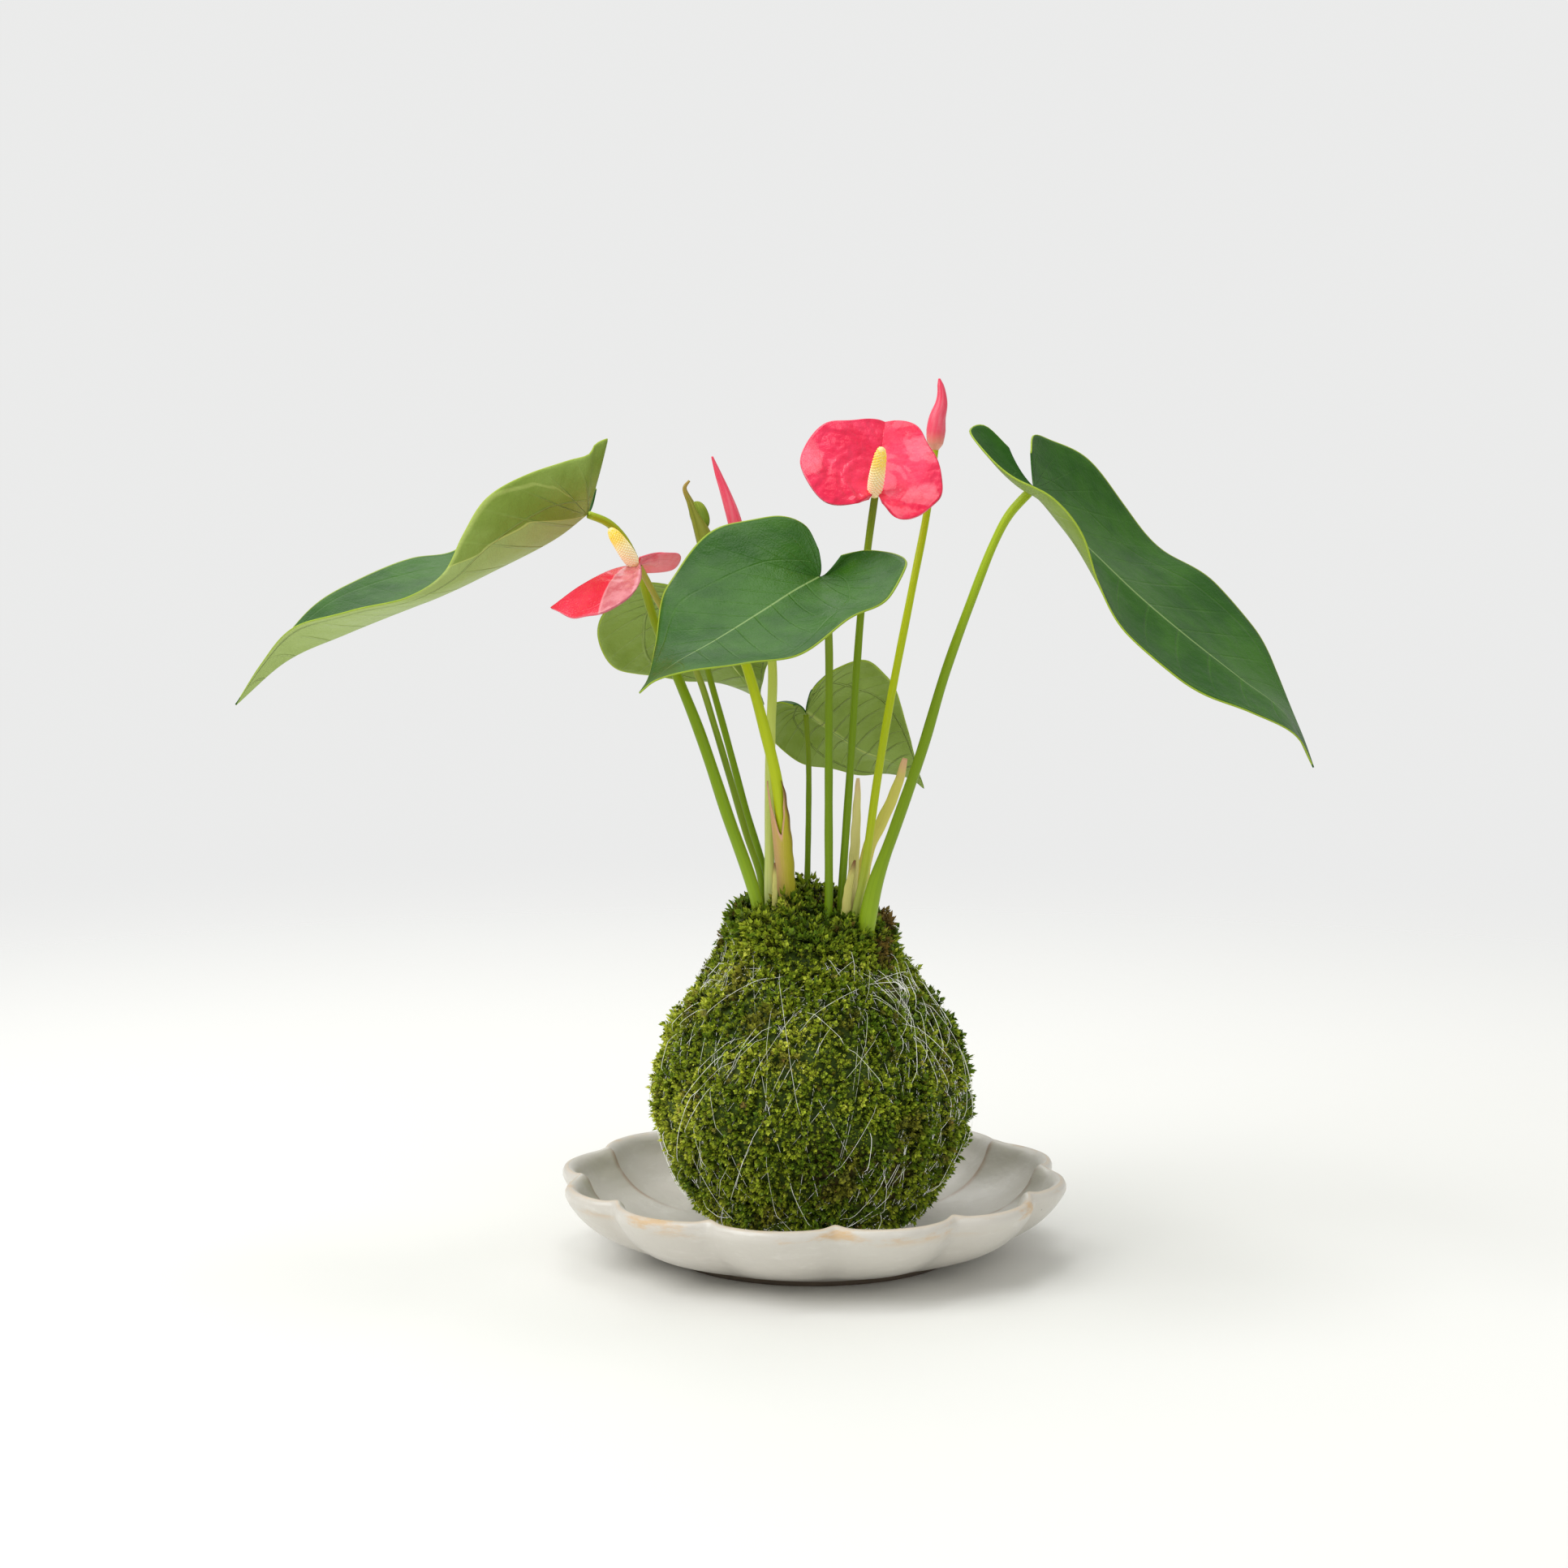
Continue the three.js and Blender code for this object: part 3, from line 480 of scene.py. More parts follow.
@dataclass(frozen=True)
class BladeFinish(Finish):
    """One face of a leaf or spathe: skin, veins and margin."""

    skin: Colour
    patch: Colour
    vein: Colour
    rib: Colour
    margin: Colour
    count: float = 15.0
    vein_share: float = 0.35
    roughness: float = 0.3
    vein_relief: float = -0.0002
    patch_scale: float = 26.0
    coat: float = 0.0
    shine: float = 0.35
    crinkle: float = 0.0
    rib_width: float = 1.0

    def dress(self, graph: Graph, shader: Node) -> None:
        """Skin mottled by patches, under paler veins and a thin margin.

        Args:
            graph: The material's graph.
            shader: Its Principled shader.
        """
        where = graph.place()
        across, along = graph.surface()
        pattern = graph.group(EFFECTS.veins, Across=across, Along=along, Count=self.count,
                              Width=self.rib_width)
        patches = graph.group(EFFECTS.mottling, Where=where, Scale=self.patch_scale).outputs[0]
        skin = graph.mix(patches, self.skin, self.patch)
        veins = graph.math("MULTIPLY", pattern.outputs["Veins"], self.vein_share)
        skin = graph.mix(veins, skin, self.vein)
        skin = graph.mix(graph.math("MULTIPLY", pattern.outputs["Rib"], 0.8), skin, self.rib)
        skin = graph.mix(pattern.outputs["Margin"], skin, self.margin)
        rough = graph.math("MULTIPLY", graph.noise(where, 180.0), 0.16)
        grain = graph.group(EFFECTS.grain, Where=where, Scale=700.0).outputs[0]
        normal = graph.bump(grain, 0.00008)
        normal = graph.bump(pattern.outputs["Veins"], self.vein_relief, normal)
        normal = graph.bump(graph.noise(where, 110.0, 2.0), self.crinkle, normal)
        graph.settle(shader, {
            "Base Color": skin, "Roughness": graph.math("ADD", rough, self.roughness - 0.08),
            "Normal": normal, "Specular IOR Level": self.shine, "Coat Weight": self.coat,
            "Coat Roughness": 0.1})


@dataclass(frozen=True)
class StemFinish(Finish):
    """A stem, bud or roll: colours that change from foot to top, with long fine streaks."""

    foot: Colour
    middle: Colour
    top: Colour
    streak: Colour
    streak_share: float = 0.35
    streaks: float = 9.0
    roughness: float = 0.4
    shine: float = 0.16
    top_from: float = 0.55

    def dress(self, graph: Graph, shader: Node) -> None:
        """Three colours along the piece, streaked and faintly ribbed.

        Args:
            graph: The material's graph.
            shader: Its Principled shader.
        """
        _, along = graph.surface()
        lines = graph.streaks(self.streaks, 0.9, 3.0)
        colour = graph.mix(graph.band(along, 0.02, 0.3), self.foot, self.middle)
        colour = graph.mix(graph.band(along, self.top_from, 1.0), colour, self.top)
        streaked = graph.math("MULTIPLY", graph.band(lines, 0.45, 0.66), self.streak_share)
        colour = graph.mix(streaked, colour, self.streak)
        where = graph.place()
        rough = graph.math("MULTIPLY", graph.noise(where, 300.0), 0.2)
        grain = graph.group(EFFECTS.grain, Where=where, Scale=1500.0).outputs[0]
        normal = graph.bump(lines, 0.00012, graph.bump(grain, 0.000006))
        graph.settle(shader, {
            "Base Color": colour, "Roughness": graph.math("ADD", rough, self.roughness - 0.1),
            "Normal": normal, "Specular IOR Level": self.shine, "Coat Weight": 0.2, "Coat Roughness": 0.2})


@dataclass(frozen=True)
class MossFinish(Finish):
    """Moss: dark at the root of each sprig, partly its darker old stems and partly painted shade between the
    sprigs, yellow-green at its tip, with brown patches.
    """

    root: Colour = (0.012, 0.022, 0.002)
    shade: Colour = (0.14, 0.25, 0.01)
    fresh: Colour = (0.46, 0.56, 0.03)
    sunny: Colour = (0.8, 0.84, 0.1)
    dry: Colour = (0.24, 0.12, 0.035)

    def dress(self, graph: Graph, shader: Node) -> None:
        """Colours by the sprig's own tint, by the height on it, which paints shade towards its root, and by
        its patch.

        Args:
            graph: The material's graph.
            shader: Its Principled shader.
        """
        tint, height, patch = graph.painted("growth")
        tip = graph.mix(graph.band(tint, 0.2, 0.65), self.shade, self.fresh)
        # The brightest tips are partly a fresh yellow-green and partly painted highlight.
        tip = graph.mix(graph.band(tint, 0.62, 0.95), tip, self.sunny)
        tip = graph.mix(graph.band(patch, 0.5, 1.0, 0.0, 0.85), tip, self.dry)
        # Towards the root the colour darkens: painted shade deep between the sprigs.
        colour = graph.mix(graph.band(height, 0.35, 0.95), self.root, tip)
        speckle = graph.noise(graph.place(), 900.0, 3.0)
        # Small flecks of the root colour: painted shade in tiny gaps.
        colour = graph.mix(graph.band(speckle, 0.35, 0.6, 0.2, 0.0), colour, self.root)
        graph.settle(shader, {
            "Base Color": colour, "Roughness": graph.band(speckle, 0.2, 0.8, 0.4, 0.75),
            "Normal": graph.bump(speckle, 0.0002), "Specular IOR Level": 0.22, "Subsurface Weight": 0.1,
            "Subsurface Radius": (0.4, 0.6, 0.1), "Subsurface Scale": 0.001})


@dataclass(frozen=True)
class ThreadFinish(Finish):
    """Clear nylon thread, which shows as light grey lines."""

    colour: Colour = (0.98, 0.98, 0.94)
    shade: Colour = (0.66, 0.68, 0.54)
    painted_glow: float = 0.4

    def dress(self, graph: Graph, shader: Node) -> None:
        """A glossy pale thread, a little brighter in places with painted glints, and lit by a painted glow.

        Args:
            graph: The material's graph.
            shader: Its Principled shader.
        """
        # Painted glints: noise makes the thread brighter in places, as if catching the light.
        lights = graph.noise(graph.place(), 120.0, 3.0)
        pale = graph.mix(graph.band(lights, 0.4, 0.62), self.shade, self.colour)
        # The emission is a painted glow: the thread is no lamp.
        graph.settle(shader, {
            "Base Color": pale, "Roughness": graph.band(lights, 0.3, 0.7, 0.25, 0.12), "Coat Weight": 0.6,
            "Emission Color": pale, "Emission Strength": self.painted_glow})


@dataclass(frozen=True)
class GlazeFinish(Finish):
    """Off-white glaze, worn to tan at the lip and the fold lines, over a brown bare foot."""

    glaze: Colour = (0.645, 0.61, 0.55)
    pooled: Colour = (0.67, 0.645, 0.58)
    streak: Colour = (0.84, 0.82, 0.77)
    tan: Colour = (0.66, 0.42, 0.18)
    brown: Colour = (0.36, 0.2, 0.1)
    bare: Colour = (0.16, 0.12, 0.085)

    def dress(self, graph: Graph, shader: Node) -> None:
        """Glaze with soft clouds, iron specks and worn edges.

        Args:
            graph: The material's graph.
            shader: Its Principled shader.
        """
        where = graph.place()
        lip, fold, foot = graph.painted("wear")
        clouds = graph.group(EFFECTS.mottling, Where=where, Scale=32.0).outputs[0]
        colour = graph.mix(graph.math("MULTIPLY", clouds, 0.55), self.glaze, self.pooled)
        drawn = graph.stretched(where, (1.0, 1.0, 4.0))
        streaks = graph.band(graph.noise(drawn, 90.0, 5.0, 0.7), 0.5, 0.75)
        colour = graph.mix(graph.math("MULTIPLY", streaks, 0.3), colour, self.streak)
        blotches = graph.band(graph.noise(drawn, 26.0, 6.0, 0.66), 0.5, 0.66)
        crest = graph.math("MULTIPLY", graph.band(lip, 0.93, 0.995), graph.band(streaks, 0.0, 1.0, 0.35, 0.7))
        worn_lip = graph.math("MAXIMUM", graph.math("MULTIPLY", graph.band(lip, 0.12, 0.8), blotches), crest)
        colour = graph.mix(graph.math("MULTIPLY", worn_lip, 0.75), colour, self.tan)
        broken = graph.band(graph.noise(where, 160.0, 4.0), 0.3, 0.55, 0.35, 1.0)
        worn_fold = graph.math("MULTIPLY", fold, broken)
        colour = graph.mix(graph.math("MULTIPLY", worn_fold, 0.75), colour, self.brown)
        colour = graph.mix(graph.band(foot, 0.3, 0.7), colour, self.bare)
        cells = graph.cells(where, 150.0)
        chosen = graph.node("ShaderNodeSeparateColor")
        graph.feed(chosen.inputs[0], cells.outputs["Color"])
        speck = graph.math("MULTIPLY", graph.band(cells.outputs["Distance"], 0.035, 0.075, 1.0, 0.0),
                           graph.band(chosen.outputs[0], 0.86, 0.9))
        colour = graph.mix(graph.math("MULTIPLY", speck, 0.7), colour, self.bare)
        worn = graph.math("MULTIPLY", graph.math("MAXIMUM", worn_lip, foot), 0.35)
        ripples = graph.noise(where, 55.0, 3.0)
        pits = graph.noise(where, 600.0, 2.0)
        normal = graph.bump(ripples, 0.0012, graph.bump(pits, 0.00006))
        graph.settle(shader, {
            "Base Color": colour, "Roughness": graph.math("ADD", worn, 0.3),
            "Normal": graph.bump(speck, -0.0001, normal), "Coat Weight": 0.25, "Coat Roughness": 0.15})


@dataclass(frozen=True)
class SoilFinish(Finish):
    """Damp potting soil."""

    dark: Colour = (0.018, 0.011, 0.006)
    crumb: Colour = (0.09, 0.055, 0.03)

    def dress(self, graph: Graph, shader: Node) -> None:
        """Dark soil with lighter crumbs.

        Args:
            graph: The material's graph.
            shader: Its Principled shader.
        """
        where = graph.place()
        crumbs = graph.noise(where, 350.0, 6.0, 0.7)
        colour = graph.mix(graph.band(crumbs, 0.45, 0.7), self.dark, self.crumb)
        graph.settle(shader, {"Base Color": colour, "Roughness": graph.band(crumbs, 0.2, 0.8, 0.75, 0.95),
                              "Normal": graph.bump(crumbs, 0.002)})


@dataclass(frozen=True)
class FloorFinish(Finish):
    """A matte floor, which fades into the pale room far from the plant."""

    colour: Colour
    fade: tuple[float, float] = (0.3, 1.1)

    def dress(self, graph: Graph, shader: Node) -> None:
        """A breath of unevenness, and a fade by the distance from the plant.

        Args:
            graph: The material's graph.
            shader: Its Principled shader.
        """
        where = graph.place()
        darker = tuple(part * 0.97 for part in self.colour)
        colour = graph.mix(graph.noise(where, 3.0, 2.0), self.colour, darker)
        graph.settle(shader, {"Base Color": colour, "Roughness": 0.6})
        distance = graph.node("ShaderNodeVectorMath", operation="LENGTH")
        graph.feed(distance.inputs[0], where)
        blend = graph.node("ShaderNodeMixShader")
        graph.feed(blend.inputs[0], graph.band(distance.outputs["Value"], *self.fade))
        graph.feed(blend.inputs[1], shader.outputs[0])
        graph.feed(blend.inputs[2], graph.node("ShaderNodeBsdfTransparent").outputs[0])
        graph.feed(graph.tree.nodes["Material Output"].inputs["Surface"], blend.outputs[0])


class Tone(Enum):
    """The finishes of the stems, rolls and bracts."""

    BRIGHT = StemFinish("bright_stem", (0.34, 0.5, 0.02), (0.22, 0.35, 0.006), (0.44, 0.57, 0.02),
                        (0.14, 0.25, 0.004), 0.3)
    DEEP = StemFinish("deep_stem", (0.22, 0.37, 0.012), (0.19, 0.31, 0.004), (0.21, 0.29, 0.008),
                      (0.12, 0.22, 0.004), 0.3)
    PALE = StemFinish("pale_stem", (0.68, 0.76, 0.22), (0.55, 0.65, 0.012), (0.48, 0.58, 0.006),
                      (0.38, 0.5, 0.006), 0.3)
    CREAM = StemFinish("cream_stem", (0.88, 0.92, 0.46), (0.76, 0.84, 0.26), (0.48, 0.58, 0.006),
                       (0.56, 0.68, 0.08), 0.35, top_from=0.3)
    OLIVE = StemFinish("olive_stem", (0.22, 0.36, 0.008), (0.2, 0.3, 0.008), (0.42, 0.38, 0.05),
                       (0.13, 0.21, 0.005), 0.3)
    YOUNG = StemFinish("young_roll", (0.36, 0.44, 0.03), (0.26, 0.28, 0.03), (0.48, 0.32, 0.07),
                       (0.1, 0.14, 0.012), 0.45, 14.0, top_from=0.75)
    YOUNG_LOBE = StemFinish("young_lobe", (0.14, 0.22, 0.012), (0.2, 0.3, 0.02), (0.34, 0.44, 0.04),
                            (0.08, 0.16, 0.008), 0.5, 12.0)
    BUD = StemFinish("flower_bud", (0.85, 0.4, 0.26), (0.95, 0.08, 0.15), (0.93, 0.045, 0.11),
                     (0.97, 0.3, 0.35), 0.38, 7.0, 0.28, 0.4)
    BRACT = StemFinish("pale_bract", (0.6, 0.46, 0.16), (0.92, 0.84, 0.32), (0.9, 0.66, 0.36),
                       (0.88, 0.66, 0.34), 0.3, 16.0, 0.5, top_from=0.82)
    GREEN_BRACT = StemFinish("green_bract", (0.54, 0.6, 0.05), (0.74, 0.69, 0.13), (0.88, 0.5, 0.3),
                             (0.82, 0.62, 0.24), 0.3, 16.0, 0.5, top_from=0.84)
    DARK_BRACT = StemFinish("dark_bract", (0.3, 0.06, 0.03), (0.7, 0.68, 0.2), (0.16, 0.06, 0.025),
                            (0.6, 0.3, 0.12), 0.4, 16.0, 0.5, top_from=0.78)


LEAF_TOP = BladeFinish(
    "leaf_top", skin=(0.02, 0.092, 0.006), patch=(0.042, 0.145, 0.01), vein=(0.12, 0.26, 0.04),
    rib=(0.28, 0.42, 0.14), margin=(0.34, 0.47, 0.04), vein_share=0.14, roughness=0.34, vein_relief=-0.00018,
    shine=0.17, crinkle=0.0007)
LEAF_UNDER = BladeFinish(
    "leaf_under", skin=(0.22, 0.32, 0.045), patch=(0.3, 0.42, 0.09), vein=(0.42, 0.54, 0.16),
    rib=(0.54, 0.64, 0.18), margin=(0.44, 0.56, 0.06), vein_share=0.5, roughness=0.42, vein_relief=0.0007,
    shine=0.14, crinkle=0.0012, rib_width=2.6)
SPATHE_TOP = BladeFinish(
    "spathe_top", skin=(0.86, 0.008, 0.062), patch=(0.93, 0.03, 0.105), vein=(0.78, 0.01, 0.06),
    rib=(0.78, 0.01, 0.05), margin=(0.95, 0.1, 0.16), count=11.0, vein_share=0.08, roughness=0.3,
    vein_relief=-0.00005, patch_scale=60.0, coat=0.58, shine=0.2, crinkle=0.003)
SPATHE_UNDER = BladeFinish(
    "spathe_under", skin=(0.92, 0.13, 0.17), patch=(0.96, 0.24, 0.28), vein=(0.8, 0.06, 0.11),
    rib=(0.8, 0.1, 0.14), margin=(0.95, 0.36, 0.4), count=11.0, vein_share=0.25, roughness=0.36,
    vein_relief=0.0001, patch_scale=90.0, shine=0.3)


@dataclass(frozen=True)
class FoldedFinish(BladeFinish):
    """A spathe's face with one lobe folded over, so that its paler back shows as far as the fold."""

    back: Colour = (0.6, 0.11, 0.14)
    cloud: Colour = (0.74, 0.22, 0.25)
    rim: Colour = (0.93, 0.36, 0.4)
    fold: float = 0.6

    def dress(self, graph: Graph, shader: Node) -> None:
        """Adds the paler back with its light rim to the half before the midrib.

        Args:
            graph: The material's graph.
            shader: Its Principled shader.
        """
        super().dress(graph, shader)
        skin = shader.inputs["Base Color"].links[0].from_socket
        across, along = graph.surface()
        bowed = graph.math("ADD", along, graph.math("MULTIPLY", graph.math("POWER", across, 2.0), 0.5))
        folded = graph.math("MULTIPLY", graph.band(bowed, self.fold - 0.015, self.fold, 1.0, 0.0),
                            graph.band(across, 0.47, 0.5, 1.0, 0.0))
        off_fold = graph.math("ABSOLUTE", graph.math("SUBTRACT", bowed, self.fold))
        cloudy = graph.noise(graph.place(), 260.0, 4.0)
        back = graph.mix(graph.band(cloudy, 0.35, 0.65), self.back, self.cloud)
        back = graph.mix(graph.band(off_fold, 0.0, 0.03, 1.0, 0.0), back, self.rim)
        graph.feed(shader.inputs["Base Color"], graph.mix(folded, skin, back))


@dataclass(frozen=True)
class ArchedFinish(BladeFinish):
    """A leaf's lower face with two arched veins on its front half, and a paler skin under the lower one,
    painted light for where the leaf bends.
    """

    pale: Colour = (0.42, 0.54, 0.18)
    arches: tuple[tuple[tuple[float, float], ...], ...] = (
        ((0.3, 0.0), (0.35, 0.47), (0.43, 0.65), (0.5, 1.05)),
        ((0.17, 0.0), (0.193, 0.18), (0.21, 0.49), (0.233, 0.71), (0.267, 0.86), (0.34, 0.97)),
    )

    def _above(self, graph: Graph, number: int) -> Socket:
        """How far above one arch a spot of the front half lies.

        Args:
            graph: The material's graph.
            number: Which of the arches it is.

        Returns:
            The distance, as a share of the half.
        """
        across, along = graph.surface()
        spots = self.arches[number]
        height = graph.band(along, spots[0][0], spots[1][0], spots[0][1], spots[1][1])
        for (before, low), (after, high) in zip(spots[1:], spots[2:]):
            height = graph.math("ADD", height, graph.band(along, before, after, 0.0, high - low))
        out_from_rib = graph.math("SUBTRACT", 1.0, graph.math("MULTIPLY", across, 2.0))
        return graph.math("SUBTRACT", out_from_rib, height)

    def dress(self, graph: Graph, shader: Node) -> None:
        """Adds the paler skin under the lower arch, which is painted light, and the arched veins themselves.

        Args:
            graph: The material's graph.
            shader: Its Principled shader.
        """
        super().dress(graph, shader)
        skin = shader.inputs["Base Color"].links[0].from_socket
        across, along = graph.surface()
        front = graph.band(across, 0.497, 0.5, 1.0, 0.0)
        lower, upper = self._above(graph, 0), self._above(graph, 1)
        past = graph.math("MULTIPLY", front, graph.band(along, 0.29, 0.31))
        # Painted light: the band under the lower arch is made paler, as where the bent leaf catches more
        # light.
        under = graph.math("MULTIPLY", past, graph.band(lower, -0.03, 0.0, 0.85, 0.0))
        skin = graph.mix(under, skin, self.pale)
        vein = graph.band(graph.math("ABSOLUTE", lower), 0.006, 0.022, 0.9, 0.0)
        skin = graph.mix(graph.math("MULTIPLY", past, vein), skin, self.rib)
        vein = graph.band(graph.math("ABSOLUTE", upper), 0.01, 0.045, 0.4, 0.0)
        early = graph.math("MULTIPLY", front, graph.band(along, 0.17, 0.18))
        skin = graph.mix(graph.math("MULTIPLY", early, vein), skin, self.rib)
        graph.feed(shader.inputs["Base Color"], skin)


ARCHED_UNDER = ArchedFinish(
    "arched_under", skin=LEAF_UNDER.skin, patch=LEAF_UNDER.patch, vein=LEAF_UNDER.vein, rib=LEAF_UNDER.rib,
    margin=LEAF_UNDER.margin, vein_share=0.3, roughness=0.42, vein_relief=0.0005, shine=0.14, crinkle=0.0012)
SIDE_SPATHE_TOP = FoldedFinish(
    "side_spathe_top", skin=(0.8, 0.012, 0.05), patch=(0.88, 0.03, 0.08), vein=SPATHE_TOP.vein,
    rib=SPATHE_TOP.rib, margin=SPATHE_TOP.margin, count=11.0, vein_share=0.08, roughness=0.24,
    vein_relief=-0.00005, patch_scale=60.0, coat=0.45, shine=0.4)


@dataclass(frozen=True)
class SheathFinish(Finish):
    """A sheath with a pink-tan flap on the left and a green one on the right."""

    flap: Colour = (0.78, 0.45, 0.22)
    green: Colour = (0.56, 0.5, 0.03)
    rim: Colour = (0.8, 0.45, 0.28)
    edge: Colour = (0.22, 0.11, 0.03)

    def dress(self, graph: Graph, shader: Node) -> None:
        """The two colours in long streaks, a pink rim and a browned right edge.

        Args:
            graph: The material's graph.
            shader: Its Principled shader.
        """
        across, along = graph.surface()
        lines = graph.streaks(14.0, 2.0, 5.0)
        wander = graph.math("MULTIPLY", graph.math("SUBTRACT", lines, 0.5), 0.3)
        colour = graph.mix(graph.band(graph.math("ADD", across, wander), 0.12, 0.8), self.flap, self.green)
        colour = graph.mix(graph.band(along, 0.9, 0.97), colour, self.rim)
        browned = graph.math("MULTIPLY", graph.band(across, 0.8, 0.95), graph.band(along, 0.3, 0.9))
        colour = graph.mix(browned, colour, self.edge)
        graph.settle(shader, {"Base Color": colour, "Roughness": 0.45, "Normal": graph.bump(lines, 0.0003),
                              "Specular IOR Level": 0.2})


def unit_grid(columns: int, rows: int) -> bmesh.types.BMesh:
    """A flat grid over the unit square, which keeps its own place as the map called shape.

    Args:
        columns: How many faces it has across.
        rows: How many it has along.

    Returns:
        The grid.
    """
    mesh = bmesh.new()
    layer = mesh.loops.layers.uv.new("shape")
    bmesh.ops.create_grid(mesh, x_segments=columns, y_segments=rows, size=0.5,
                          matrix=Matrix.Translation((0.5, 0.5, 0)))
    for face in mesh.faces:
        for loop in face.loops:
            loop[layer].uv = loop.vert.co.xy
    return mesh


def shape_grid(mesh: bmesh.types.BMesh, form: Form) -> None:
    """Moves a grid's vertices to a form.

    Args:
        mesh: The grid.
        form: Gives their places, from where they lie across and along it.
    """
    flat = np.array([vertex.co.xy for vertex in mesh.verts])
    for vertex, place in zip(mesh.verts, form(flat[:, 0], flat[:, 1]) * MM):
        vertex.co = place


def add_object(name: str, data: bpy.types.ID) -> bpy.types.Object:
    """Adds an object to the scene, at the origin.

    Args:
        name: The object's name.
        data: Its mesh, camera or light.

    Returns:
        The object.
    """
    added = bpy.data.objects.new(name, data)
    bpy.context.scene.collection.objects.link(added)
    return added


def finish_piece(name: str, shape: Union[bmesh.types.BMesh, bpy.types.Mesh], finishes: Sequence[Finish],
                 nodes: Sequence[str]) -> bpy.types.Object:
    """Makes a shape a smooth-shaded object that rides on the body and stands for its nodes.

    Args:
        name: The piece's name.
        shape: The shaped mesh, which is freed here, or its data.
        finishes: The finish of each material slot.
        nodes: The CAD nodes that the piece replaces.

    Returns:
        The finished object.
    """
    data = shape
    if isinstance(shape, bmesh.types.BMesh):
        data = bpy.data.meshes.new(name)
        shape.to_mesh(data)
        shape.free()
    data.shade_smooth()
    for finish in finishes:
        data.materials.append(finish.make())
    piece = add_object(name, data)
    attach(piece, BODY)
    if nodes:
        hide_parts(*nodes)
    log.info("%s: %d faces", name, len(data.polygons))
    return piece


def add_thickness(piece: bpy.types.Object, thickness: float, back: int = 0) -> None:
    """Gives an open sheet its thickness.

    Args:
        piece: The sheet.
        thickness: How thick it gets.
        back: How many slots on from its face the material of its back lies.
    """
    solid = piece.modifiers.new("thickness", "SOLIDIFY")
    solid.thickness = thickness * MM
    solid.offset = 0
    solid.material_offset = back


@dataclass(frozen=True)
class Side:
    """Half of a blade: how far its middle hangs off a straight line, and its edge."""

    belly: Point
    edge: tuple[Point, ...]


